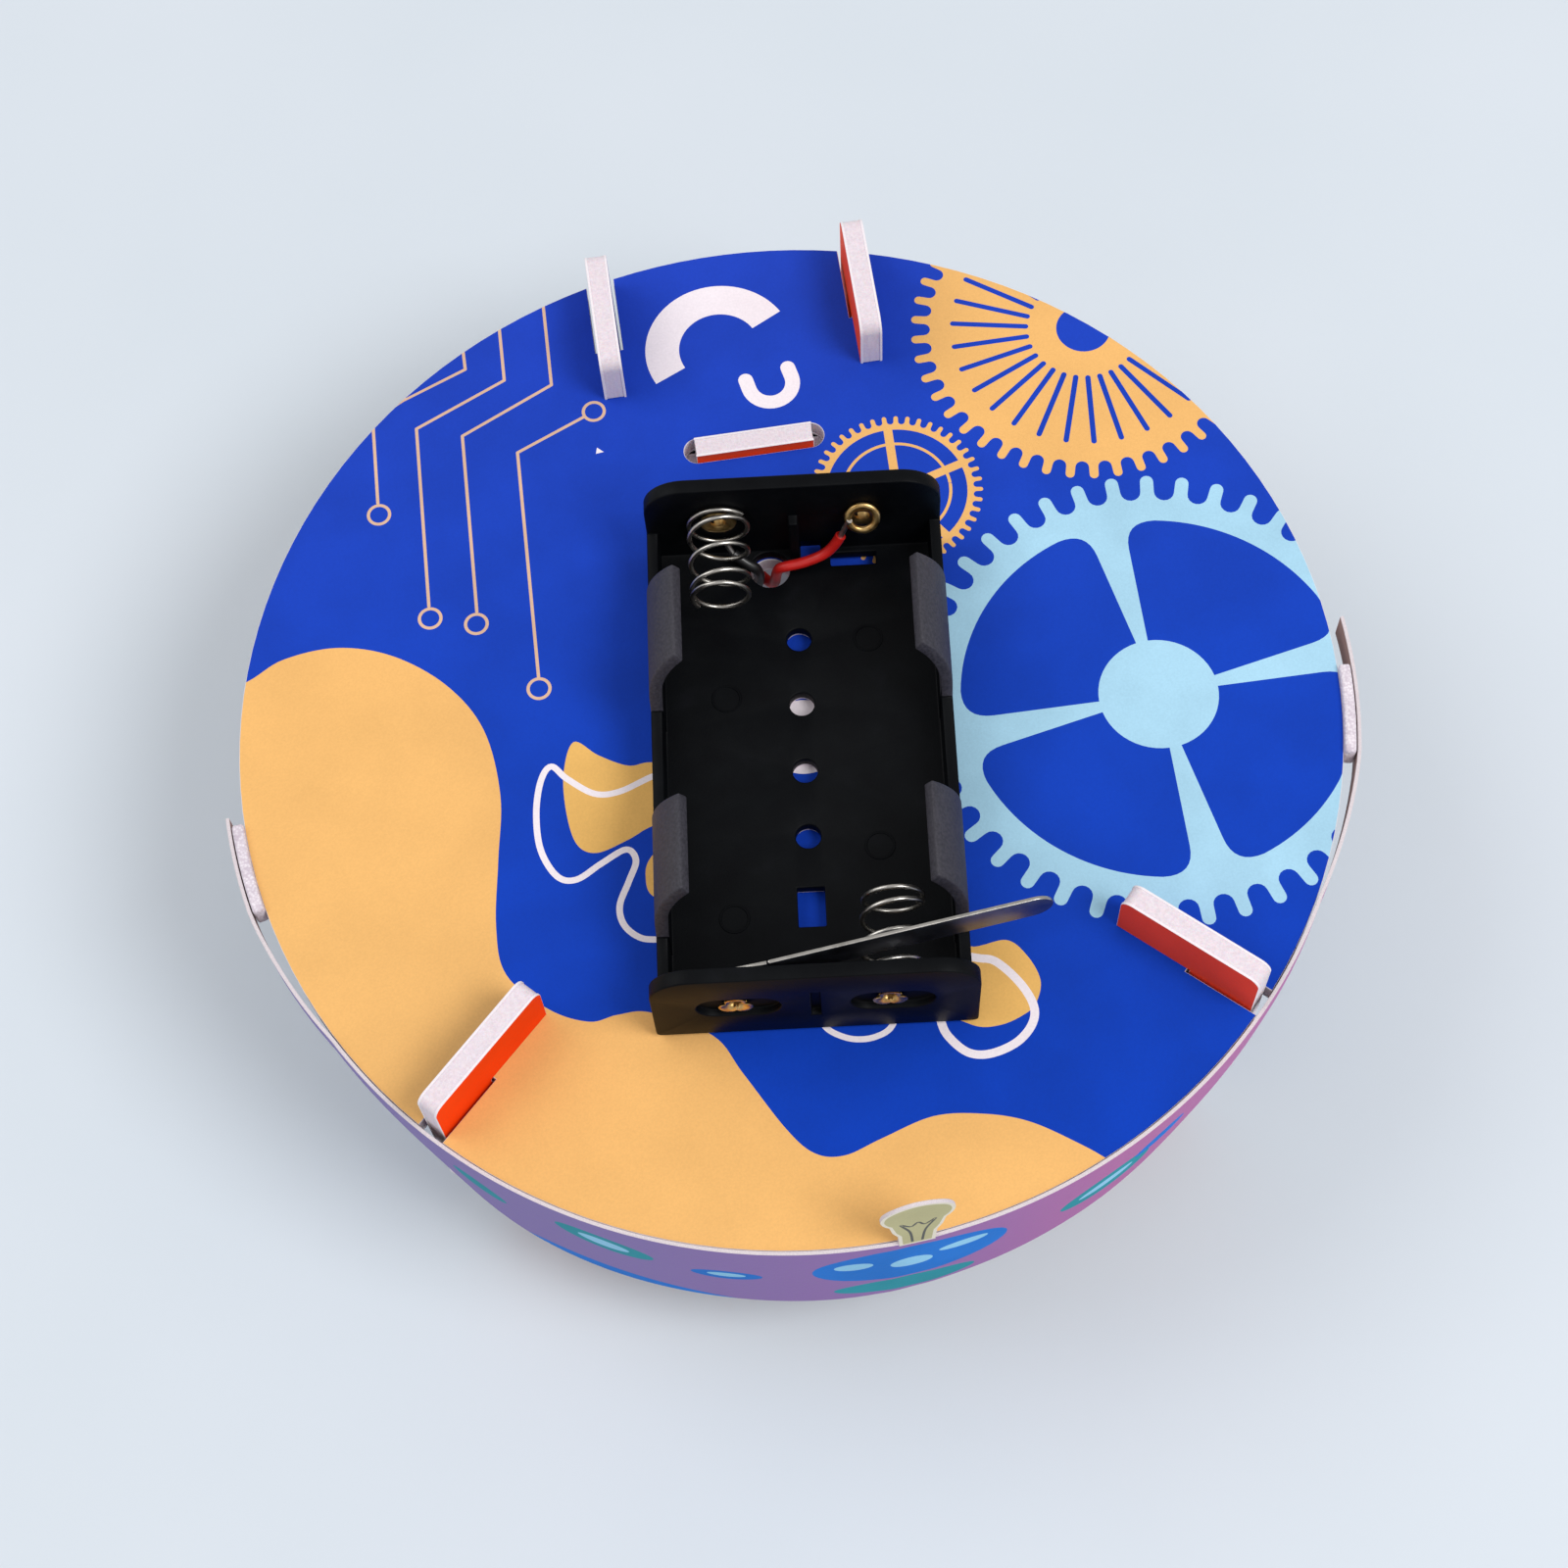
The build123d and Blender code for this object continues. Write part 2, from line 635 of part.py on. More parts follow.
nodes = {
    "deck": deck(),
    "front_leg_left": front_leg(leg_angles[0]),
    "front_leg_right": front_leg(leg_angles[1]),
    "rear_plate_left": rear_plate(-1),
    "rear_plate_right": rear_plate(1),
    "cross_board": cross_board(),
    "printed_band": printed_band(),
    "band_pad_left": band_pad(-1),
    "band_pad_right": band_pad(1),
    "battery_box": battery_box(),
    "box_tape": box_tape(),
    "contact_spring_rear": contact_spring(-cell_x, 1),
    "contact_spring_front": contact_spring(cell_x, -1),
    "battery_contacts": battery_contacts(),
    "switch_leaf_foot": switch_leaf_foot(),
    "switch_contact": switch_contact(),
    "switch_leaf": switch_leaf(),
    "red_lead": red_lead(),
    "black_lead": black_lead(),
    "wheel_axle": wheel_axle(),
    "axle_gear": axle_gear(),
    "axle_collar": axle_collar(),
    "axle_bush_left": axle_bush(-1),
    "axle_bush_right": axle_bush(1),
    "wheel_hub_left": wheel_hub(-1),
    "wheel_hub_right": wheel_hub(1),
    "tyre_left": tyre(-1),
    "tyre_right": tyre(1),
    "motor_can": motor_can(),
    "motor_end_cap": motor_end_cap(),
    "motor_magnets": Compound([motor_magnet(-1), motor_magnet(1)]),
    "motor_armature": motor_armature(),
    "motor_shaft": motor_shaft(),
    "motor_pinion": motor_pinion(),
    "motor_terminals": motor_terminals(),
    "motor_tape": motor_tape(),
}

os.makedirs("parts", exist_ok=True)
for name, shape in nodes.items():
    export_step(shape, f"parts/{name}.step")
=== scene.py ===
import math

import bmesh
import bpy
from mathutils import Matrix, Vector
from mathutils.bvhtree import BVHTree
from mathutils.geometry import delaunay_2d_cdt


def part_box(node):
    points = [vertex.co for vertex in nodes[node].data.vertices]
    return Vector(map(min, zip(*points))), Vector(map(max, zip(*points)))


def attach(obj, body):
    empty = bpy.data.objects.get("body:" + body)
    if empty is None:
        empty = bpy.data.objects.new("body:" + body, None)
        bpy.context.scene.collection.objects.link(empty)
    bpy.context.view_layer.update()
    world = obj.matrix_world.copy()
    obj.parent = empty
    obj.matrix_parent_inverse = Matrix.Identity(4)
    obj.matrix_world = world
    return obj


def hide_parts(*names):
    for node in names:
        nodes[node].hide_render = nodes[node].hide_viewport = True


# Looks of a small two wheel robot car of foam board. Shapes are worked out in millimetres in the
# frame of the CAD and turned into metres when a mesh is made. Every outline of a board comes from its
# CAD node; the print on it is drawn here.

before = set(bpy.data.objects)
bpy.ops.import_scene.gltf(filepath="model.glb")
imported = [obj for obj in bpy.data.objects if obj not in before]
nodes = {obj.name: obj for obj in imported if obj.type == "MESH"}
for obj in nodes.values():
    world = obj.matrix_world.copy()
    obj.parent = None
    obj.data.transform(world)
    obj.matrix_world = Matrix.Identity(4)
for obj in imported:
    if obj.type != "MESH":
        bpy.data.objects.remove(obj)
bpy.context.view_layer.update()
MM = 0.001


def box_mm(node):
    """Lowest and highest corner of a CAD node in millimetres."""
    low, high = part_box(node)
    return low / MM, high / MM


def middle_mm(node):
    """The middle of a CAD node's box in millimetres."""
    low, high = box_mm(node)
    return (low + high) / 2


deck_low, deck_high = box_mm("deck")
deck_top = deck_high.z
deck_radius = deck_high.x
band_low, band_high = box_mm("printed_band")
axle = middle_mm("wheel_axle")
case_middle = middle_mm("battery_box")
case_turn = -5.9
case_place = Matrix.Translation((case_middle.x, case_middle.y, box_mm("battery_box")[0].z))
case_place = case_place @ Matrix.Rotation(math.radians(case_turn), 4, "Z")
case_half_length = 28.5
case_end_wall = 1.6
cell_x = 7.8
front_contact_z = 7.4
rear_contact_z = 8.6


# --- Flat outlines, in millimetres ---

def polar(radius, degrees, centre=(0, 0)):
    turn = math.radians(degrees)
    return (centre[0] + radius * math.cos(turn), centre[1] + radius * math.sin(turn))


def circle(centre, radius, count=72):
    return [polar(radius, 360 * step / count, centre) for step in range(count)]


def arc_strip(centre, inner, outer, start, end, count=40):
    """A strip between two radii, from one angle to another."""
    turns = [start + (end - start) * step / count for step in range(count + 1)]
    far = [polar(outer, turn, centre) for turn in turns]
    return far + [polar(inner, turn, centre) for turn in reversed(turns)]


def spline(points, closed=False):
    """A smooth line through points."""
    steps = 8
    count = len(points)
    line = []
    for index in range(count if closed else count - 1):
        ring = [index - 1, index, index + 1, index + 2]
        if closed:
            ring = [i % count for i in ring]
        else:
            ring = [min(max(i, 0), count - 1) for i in ring]
        a, b, c, d = (Vector(points[i]) for i in ring)
        for step in range(steps):
            t = step / steps
            line.append((2 * b + (c - a) * t + (2 * a - 5 * b + 4 * c - d) * t**2
                         + (3 * b - a - 3 * c + d) * t**3) / 2)
    if not closed:
        line.append(Vector(points[-1]))
    return [tuple(point) for point in line]


def stroke(line, width):
    """The outline of a pen stroke with round ends along a line."""
    line = [Vector(point) for point in line]
    half = width / 2
    left, right = [], []
    for index, point in enumerate(line):
        ahead = line[min(index + 1, len(line) - 1)] - line[max(index - 1, 0)]
        side = Vector((-ahead.y, ahead.x)).normalized() * half
        left.append(tuple(point + side))
        right.append(tuple(point - side))

    def cap(centre, start):
        turn = math.degrees(math.atan2(start[1] - centre.y, start[0] - centre.x))
        return [polar(half, turn - 180 * step / 8, centre) for step in range(1, 8)]

    return left + cap(line[-1], left[-1]) + right[::-1] + cap(line[0], right[0])


def gear_rim(centre, root, tip, teeth, phase):
    """The outline of a printed gear: fingers with round tips, and rounder gaps between them."""
    pitch = 360 / teeth
    pitch_length = math.pi * (root + tip) / teeth
    crest = 0.2 * pitch_length
    dip = 0.28 * pitch_length
    rim = []
    for tooth in range(teeth):
        for middle, size, at, way in ((0, crest, tip, 1), (0.5, dip, root, -1)):
            for step in range(9):
                side = math.radians(-90 + 22.5 * step)
                radius = at - way * size * (1 - math.cos(side))
                turn = phase + pitch * (tooth + middle) + math.degrees(size * math.sin(side) / at)
                rim.append(polar(radius, turn, centre))
    return rim


def soft_corner(before, corner, after, reach):
    """A round turn at a corner, from its two neighbours and how far from it the turn begins."""
    corner = Vector(corner)
    start = corner + (Vector(before) - corner).normalized() * reach
    end = corner + (Vector(after) - corner).normalized() * reach
    turn = []
    for step in range(9):
        t = step / 8
        turn.append(tuple(start * (1 - t) ** 2 + corner * 2 * t * (1 - t) + end * t**2))
    return turn


def window(centre, inner, outer, start, end, reach):
    """A gear's window between two spokes, with round outer corners."""
    ease = math.degrees(reach / outer)
    arc = [polar(outer, start + ease + (end - start - 2 * ease) * step / 24, centre) for step in range(25)]
    first, last = polar(outer, start, centre), polar(outer, end, centre)
    outline = arc[1:-1]
    outline += soft_corner(arc[-1], last, polar(inner, end, centre), reach)
    outline += [polar(inner, end - (end - start) * step / 12, centre) for step in range(13)]
    outline += soft_corner(polar(inner, start, centre), first, arc[0], reach)
    return outline


def counter_clockwise(outline):
    area = sum(a[0] * b[1] - b[0] * a[1] for a, b in zip(outline, outline[1:] + outline[:1]))
    return outline if area > 0 else outline[::-1]


def shape(look, fill, cut=()):
    """A printed shape: filled outlines, less the ones cut out of them."""
    return {"look": look, "fill": list(fill), "cut": list(cut)}


# --- From outlines to boards ---

def cad_outlines(node, normal):
    """The outlines of a flat CAD board's face, the outer one first, and the function that places them."""
    up = Vector(normal).normalized()
    across = Vector((1, 0, 0)) if abs(up.z) > 0.9 else Vector((0, 0, 1)).cross(up).normalized()
    along = up.cross(across)
    mesh = nodes[node].data
    heights = [up.dot(v.co) / MM for v in mesh.vertices]
    face_height = max(heights)
    corners, edges = {}, set()
    for polygon in mesh.polygons:
        if min(heights[v] for v in polygon.vertices) < face_height - 0.01:
            continue
        ring = []
        for v in polygon.vertices:
            point = mesh.vertices[v].co / MM
            flat = (across.dot(point), along.dot(point))
            key = (round(flat[0], 3), round(flat[1], 3))
            corners.setdefault(key, flat)
            ring.append(key)
        edges.update(zip(ring, ring[1:] + ring[:1]))
    following = {a: b for a, b in edges if (b, a) not in edges}
    loops = []
    while following:
        start, here = following.popitem()
        loop = [start]
        while here != start:
            loop.append(here)
            here = following.pop(here)
        loops.append([corners[key] for key in loop])

    def size(loop):
        return max(p[0] for p in loop) - min(p[0] for p in loop)

    loops.sort(key=size, reverse=True)

    def place(u, v, depth):
        return across * u + along * v + up * (face_height - depth)

    return loops, place, face_height - min(heights)


def partition(boards, holes, shapes, lines=()):
    """Triangles over the boards less the holes, each with the number of the last shape over it."""
    owned = [(outline, "board") for outline in boards] + [(outline, "hole") for outline in holes]
    for number, printed in enumerate(shapes):
        owned += [(outline, (part, number)) for part in ("fill", "cut") for outline in printed[part]]
    points, edges, faces = [], [], []
    for outline, _ in owned:
        first = len(points)
        points.extend(Vector(point[:2]) for point in counter_clockwise(outline))
        faces.append(list(range(first, len(points))))
    for line in lines:
        edges.append((len(points), len(points) + 1))
        points.extend(Vector(point) for point in line)
    made = delaunay_2d_cdt(points, edges, faces, 0, 1e-5, True)
    kept, numbers = [], []
    for triangle, sources in zip(made[2], made[5]):
        tags = {owned[source][1] for source in sources}
        if "board" not in tags or "hole" in tags:
            continue
        over = [n for n in range(len(shapes)) if ("fill", n) in tags and ("cut", n) not in tags]
        kept.append(tuple(triangle))
        numbers.append(over[-1] if over else None)
    return made[0], kept, numbers


def edge_insets(corners, triangles):
    """The edges round an area, and for each corner on them the way into the area."""
    used = set()
    for a, b, c in triangles:
        used.update(((a, b), (b, c), (c, a)))
    rim = [(a, b) for a, b in used if (b, a) not in used]
    inward = {}
    for a, b in rim:
        run = (corners[b] - corners[a]).normalized()
        for corner in (a, b):
            inward.setdefault(corner, []).append(Vector((-run.y, run.x)))
    for corner, ways in inward.items():
        total = sum(ways[1:], ways[0].copy())
        size = max(total.length_squared / len(ways) ** 2, 0.3)
        inward[corner] = total / len(ways) / size
    return rim, inward


def layered_sheet(name, area, place, levels, looks, shapes):
    """A closed sheet of material: the printed front, the back, and walls that follow the levels.
    A level is (inset, depth, look of the wall down to the next level)."""
    corners, triangles, numbers = area
    rim, inward = edge_insets(corners, triangles)
    points, rows = [], []
    used = sorted({corner for triangle in triangles for corner in triangle})
    last = len(levels) - 1
    for row, (inset, depth, _) in enumerate(levels):
        index = {}
        for corner in used if row in (0, last) else inward:
            flat = corners[corner]
            if corner in inward:
                flat = flat + inward[corner] * inset
            index[corner] = len(points)
            points.append(place(flat.x, flat.y, depth) * MM)
        rows.append(index)
    looks = looks | {printed["look"]: look[printed["look"]] for printed in shapes}
    order = list(looks)
    faces, slots = [], []
    for triangle, number in zip(triangles, numbers):
        faces.append([rows[0][corner] for corner in triangle])
        slots.append(order.index("front" if number is None else shapes[number]["look"]))
        faces.append([rows[last][corner] for corner in reversed(triangle)])
        slots.append(order.index("back"))
    for row in range(last):
        for a, b in rim:
            faces.append([rows[row][a], rows[row + 1][a], rows[row + 1][b], rows[row][b]])
            slots.append(order.index(levels[row][2]))
    return mesh_object(name, points, faces, list(looks.values()), slots)


def into_scene(name, data):
    made = bpy.data.objects.new(name, data)
    bpy.context.scene.collection.objects.link(made)
    return made


def mesh_object(name, points, faces, materials, slots=None, sharp=30):
    """A new object in the scene from points in metres, smooth but for edges sharper than an angle."""
    mesh = bpy.data.meshes.new(name)
    mesh.from_pydata([tuple(point) for point in points], [], faces)
    for material in materials:
        mesh.materials.append(material)
    if slots:
        mesh.polygons.foreach_set("material_index", slots)
    mesh.polygons.foreach_set("use_smooth", [True] * len(faces))
    mesh.set_sharp_from_angle(angle=math.radians(sharp))
    mesh.validate()
    return into_scene(name, mesh)


def stands_for(piece, body, slot, *replaced):
    """The piece rides on a body and replaces CAD nodes, which are hidden. The slot is not used."""
    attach(piece, body)
    if replaced:
        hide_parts(*replaced)


def soften(name, node, width, material):
    """A copy of a CAD node's shape with its sharp edges rounded."""
    body = bmesh.new()
    shared, corners = {}, []
    for vertex in nodes[node].data.vertices:
        key = tuple(round(value * 1e6) for value in vertex.co)
        if key not in shared:
            shared[key] = body.verts.new(vertex.co)
        corners.append(shared[key])
    for polygon in nodes[node].data.polygons:
        ring = [corners[v] for v in polygon.vertices]
        if len(set(ring)) == len(ring) and not body.faces.get(ring):
            body.faces.new(ring)
    surface = BVHTree.FromBMesh(body)
    bmesh.ops.dissolve_limit(body, angle_limit=math.radians(1.5), verts=body.verts, edges=body.edges)
    sharp = math.radians(35)
    edges = [edge for edge in body.edges if edge.is_manifold and edge.calc_face_angle() > sharp]
    bmesh.ops.bevel(body, geom=edges, offset=width * MM, segments=2, profile=0.5, affect="EDGES",
                    clamp_overlap=False)
    for corner in body.verts:
        nearest, _, _, distance = surface.find_nearest(corner.co)
        if distance > 0.8 * width * MM:
            corner.co = nearest
    bmesh.ops.triangulate(body, faces=[face for face in body.faces if len(face.verts) > 4])
    mesh = bpy.data.meshes.new(name)
    body.to_mesh(mesh)
    body.free()
    mesh.materials.append(material)
    mesh.polygons.foreach_set("use_smooth", [True] * len(mesh.polygons))
    mesh.set_sharp_from_angle(angle=math.radians(50))
    return into_scene(name, mesh)


# --- Materials ---

WHITE = (255, 255, 255)


def shade(tone, factor=1.0):
    """Screen values from 0 to 255, darker or lighter by a factor, as the linear colour that a node takes."""
    linear = []
    for value in tone:
        value /= 255
        value = value / 12.92 if value <= 0.04045 else ((value + 0.055) / 1.055) ** 2.4
        linear.append(min(value * factor, 1.0))
    return (*linear, 1.0)


class Finish:
    """A material and the few kinds of node that every finish here is made of."""

    sockets = {"roughness": "Roughness", "metallic": "Metallic", "specular": "Specular IOR Level",
               "sheen": "Sheen Weight", "coat": "Coat Weight", "scatter": "Subsurface Weight",
               "scatter_depth": "Subsurface Scale"}

    def __init__(self, name, **settings):
        self.material = bpy.data.materials.new(name)
        self.material.use_nodes = True
        self.tree = self.material.node_tree
        self.shader = self.tree.nodes["Principled BSDF"]
        for setting, value in settings.items():
            self.shader.inputs[self.sockets[setting]].default_value = value
        self.place = self.node("ShaderNodeTexCoord").outputs["Object"]
        self.height = None

    def node(self, kind, **settings):
        made = self.tree.nodes.new(kind)
        for name, value in settings.items():
            setattr(made, name, value)
        return made

    def link(self, output, target):
        self.tree.links.new(output, target)

    def noise(self, size, detail=3.0, stretch=None):
        """Noise with features of a size in millimetres, drawn out along an axis if stretch is given."""
        place = self.place
        if stretch:
            mapping = self.node("ShaderNodeMapping")
            mapping.inputs["Scale"].default_value = stretch
            self.link(place, mapping.inputs["Vector"])
            place = mapping.outputs["Vector"]
        noise = self.node("ShaderNodeTexNoise")
        noise.inputs["Scale"].default_value = 1 / (size * MM)
        noise.inputs["Detail"].default_value = detail
        self.link(place, noise.inputs["Vector"])
        return noise.outputs["Fac"]

    def cells(self, size):
        voronoi = self.node("ShaderNodeTexVoronoi")
        voronoi.inputs["Scale"].default_value = 1 / (size * MM)
        self.link(self.place, voronoi.inputs["Vector"])
        return voronoi.outputs["Distance"]

    def across_deck(self, axis):
        """From 0 to 1 over the deck's width along an axis."""
        split = self.node("ShaderNodeSeparateXYZ")
        self.link(self.place, split.inputs["Vector"])
        span = self.node("ShaderNodeMapRange")
        span.inputs["From Min"].default_value = -deck_radius * MM
        span.inputs["From Max"].default_value = deck_radius * MM
        self.link(split.outputs[axis], span.inputs["Value"])
        return span.outputs["Result"]

    def ramp(self, value, *stops):
        """Colours at places along a value: screen values, or linear ones where a colour has four."""
        ramp = self.node("ShaderNodeValToRGB")
        elements = ramp.color_ramp.elements
        while len(elements) < len(stops):
            elements.new(0.5)
        for element, (position, tone) in zip(elements, stops):
            element.position = position
            element.color = tone if len(tone) == 4 else shade(tone)
        self.link(value, ramp.inputs["Fac"])
        return ramp.outputs["Color"]

    def multiply(self, first, second):
        mix = self.node("ShaderNodeMix", data_type="RGBA", blend_type="MULTIPLY")
        mix.inputs["Factor"].default_value = 1.0
        self.link(first, mix.inputs["A"])
        self.link(second, mix.inputs["B"])
        return mix.outputs["Result"]

    def paint(self, tone):
        self.link(tone, self.shader.inputs["Base Color"])

    def patches(self, size, detail, *stops):
        """Paints colours in patches of a size in millimetres, and returns the noise behind them."""
        noise = self.noise(size, detail)
        self.paint(self.ramp(noise, *stops))
        return noise

    def bump(self, height, depth):
        """Raises the surface by a depth in millimetres where height is 1."""
        bump = self.node("ShaderNodeBump")
        bump.inputs["Distance"].default_value = depth * MM
        self.link(height, bump.inputs["Height"])
        if self.height:
            self.link(self.height, bump.inputs["Normal"])
        self.height = bump.outputs["Normal"]
        self.link(self.height, self.shader.inputs["Normal"])

    def vary_roughness(self, value, low, high):
        span = self.node("ShaderNodeMapRange")
        span.inputs["To Min"].default_value = low
        span.inputs["To Max"].default_value = high
        self.link(value, span.inputs["Value"])
        self.link(span.outputs["Result"], self.shader.inputs["Roughness"])


def printed_paper(name, tone, mottle=0.06, along_y=None):
    """Matt printed paper: ink that is never quite even, over a fibrous sheet."""
    finish = Finish(name, roughness=0.62, specular=0.1)
    ink = finish.ramp(finish.noise(9.0, 2), (0.35, shade(tone, 1 - mottle)), (0.65, shade(tone, 1 + mottle)))
    # Where a ramp along the deck is given, it multiplies the ink; for the blue it is painted reflection,
    # paler towards the rear.
    if along_y:
        ink = finish.multiply(ink, finish.ramp(finish.across_deck("Y"), *along_y))
    grain = finish.noise(0.22, 2)
    finish.paint(finish.multiply(ink, finish.ramp(grain, (0.3, shade(WHITE, 0.93)), (0.7, WHITE))))
    finish.bump(finish.noise(0.5, 4), 0.02)
    finish.vary_roughness(grain, 0.55, 0.7)
    return finish.material


def cut_edge(name, fibre_size, dark, pale, **settings):
    """The cut edge of paper or card: pale and slightly furry."""
    finish = Finish(name, **settings)
    finish.bump(finish.patches(fibre_size, 4, (0.3, dark), (0.7, pale)), 0.015)
    return finish.material


def foam_core():
    """Cut polystyrene foam between the skins, with its tiny cells and the drag marks of the cutter."""
    finish = Finish("foam_core", roughness=0.85, specular=0.3, scatter=0.15, scatter_depth=0.4 * MM)
    cell = finish.cells(0.16)
    drag = finish.noise(0.35, 3, stretch=(1, 1, 0.15))
    tone = finish.ramp(drag, (0.3, (220, 209, 216)), (0.7, (232, 223, 229)))
    finish.paint(finish.multiply(tone, finish.ramp(cell, (0.0, WHITE), (0.8, (246, 241, 243)))))
    finish.bump(cell, 0.015)
    finish.bump(drag, 0.015)
    return finish.material


def band_print():
    """The band's printed side, violet on the left turning to magenta on the right."""
    finish = Finish("band_print", roughness=0.5, specular=0.4)
    tone = finish.ramp(finish.across_deck("X"), (0.0, (112, 92, 168)), (0.3, (125, 98, 172)),
                       (0.55, (146, 94, 168)), (0.72, (178, 92, 160)), (1.0, (182, 94, 160)))
    grain = finish.noise(0.3, 3)
    finish.paint(finish.multiply(tone, finish.ramp(grain, (0.3, shade(WHITE, 0.9)), (0.7, WHITE))))
    finish.bump(finish.noise(0.6, 4), 0.015)
    finish.vary_roughness(grain, 0.42, 0.58)
    return finish.material


def patchy(name, patch, tones, grain, depth, rough, **settings):
    """A finish with its colour and gloss in patches, over a grain. Both are given as noise takes them."""
    finish = Finish(name, **settings)
    gloss = finish.patches(*patch, *tones)
    finish.bump(finish.noise(*grain), depth)
    finish.vary_roughness(gloss, *rough)
    return finish.material


def black_plastic():
    """Moulded black polypropylene, greyer in patches where it has been handled."""
    tones = (0.35, (3, 4, 7)), (0.6, (6, 8, 11)), (0.8, (13, 14, 19))
    return patchy("moulded_black", (4.0, 5), tones, (0.12, 2), 0.02, (0.42, 0.56),
                  roughness=0.42, specular=0.09)


def clip_plastic():
    """The same plastic with the coarse matt texture of the cell clips."""
    tones = (0.35, (40, 39, 47)), (0.65, (56, 54, 63))
    return patchy("moulded_clip", (0.3, 3), tones, (0.3, 3), 0.04, (0.52, 0.7), roughness=0.62, specular=0.4)


def nickel(name="nickel_steel", tone=(196, 192, 186), rough=(0.2, 0.38)):
    """Plated steel with fine rolling lines and dull patches."""
    tones = (0.3, [int(value * 0.86) for value in tone]), (0.7, tone)
    return patchy(name, (1.6, 4), tones, (0.3, 3, (1, 1, 8)), 0.01, rough, roughness=0.3, metallic=1.0)


def brass():
    """Brass with tarnish in patches."""
    tones = (0.3, (168, 128, 72)), (0.7, (222, 190, 130))
    return patchy("contact_metal", (0.8, 4), tones, (0.25, 3), 0.012, (0.22, 0.45),
                  roughness=0.32, metallic=1.0)


def insulation(name, tone):
    """Soft vinyl wire covering with faint handling marks."""
    tones = (0.3, shade(tone, 0.85)), (0.7, shade(tone, 1.1))
    return patchy(name, (1.5, 4), tones, (0.35, 3), 0.01, (0.3, 0.5), roughness=0.38, coat=0.1)


def plastic(name, tone):
    """Injection moulded plastic with a slightly uneven gloss and fine flow marks."""
    tones = (0.3, shade(tone, 0.92)), (0.7, shade(tone, 1.04))
    return patchy(name, (3.5, 4), tones, (0.25, 2), 0.01, (0.3, 0.45),
                  roughness=0.35, scatter=0.05, scatter_depth=0.5 * MM)


def tyre_rubber():
    """Dark rubber with bloom and dust."""
    tones = (0.35, (24, 24, 26)), (0.65, (38, 37, 38)), (0.85, (72, 70, 68))
    return patchy("tyre_rubber", (2.2, 5), tones, (0.2, 3), 0.03, (0.62, 0.88), roughness=0.75, specular=0.35)


def machined(name, tone, stretch, rough=(0.22, 0.4), metallic=1.0):
    """Metal, or hard ferrite, with brushed lines along or round the part."""
    finish = Finish(name, roughness=0.3, metallic=metallic)
    finish.patches(4.0, 5, (0.3, shade(tone, 0.82)), (0.7, tone))
    lines = finish.noise(0.5, 4, stretch=stretch)
    finish.bump(lines, 0.012)
    finish.vary_roughness(lines, *rough)
    return finish.material


def foam_tape():
    """Closed cell foam tape: white, dimpled and soft."""
    finish = Finish("foam_tape", roughness=0.9, specular=0.2, sheen=0.2)
    cell = finish.cells(0.28)
    tone = finish.ramp(finish.noise(1.5, 3), (0.3, (222, 214, 222)), (0.7, (244, 238, 243)))
    finish.paint(finish.multiply(tone, finish.ramp(cell, (0.1, WHITE), (0.7, (225, 218, 224)))))
    finish.bump(cell, 0.05)
    return finish.material


# The deck's blue is painted paler and warmer towards the rear and deeper at the front. This is painted
# reflection of the gloss seen at the rear, multiplied over the ink.
BLUE_PAINTED_REFLECTION_FADE = ((0.0, (0.06, 0.84, 0.9, 1)), (0.5, (0.36, 0.92, 0.93, 1)), (1.0, (1, 1, 0.98, 1)))
PRINTS = {                     # the ink's colour, and how uneven it is
    "tan": ((234, 180, 109), 0.03),
    "ochre": ((230, 180, 102), 0.06),
    "white": ((240, 230, 236), 0.03),
    "beige": ((216, 178, 150), 0.06),
    "cyan": ((164, 206, 228), 0.06),
    "orange": ((248, 64, 0), 0.06),
    "red": ((254, 80, 42), 0.06),
    "deep_red": ((248, 74, 48), 0.06),
    "navy": ((20, 48, 150), 0.06),
    "plain": ((236, 230, 232), 0.02),
    # The card's back: a greyish brown made darker as painted shade for the narrow gap between band and deck.
    "card_back_and_gap_shade": ((150, 122, 116), 0.05),
    "band_blue": ((22, 118, 212), 0.06),
    "band_teal": ((38, 150, 166), 0.06),
    "band_sky": ((150, 208, 240), 0.06),
    "bulb_glass": ((192, 186, 142), 0.06),
    "bulb_rim": ((236, 228, 210), 0.02),
    "bulb_wire": ((96, 96, 92), 0.06),
}
look = {name: printed_paper("print_" + name, *ink) for name, ink in PRINTS.items()}
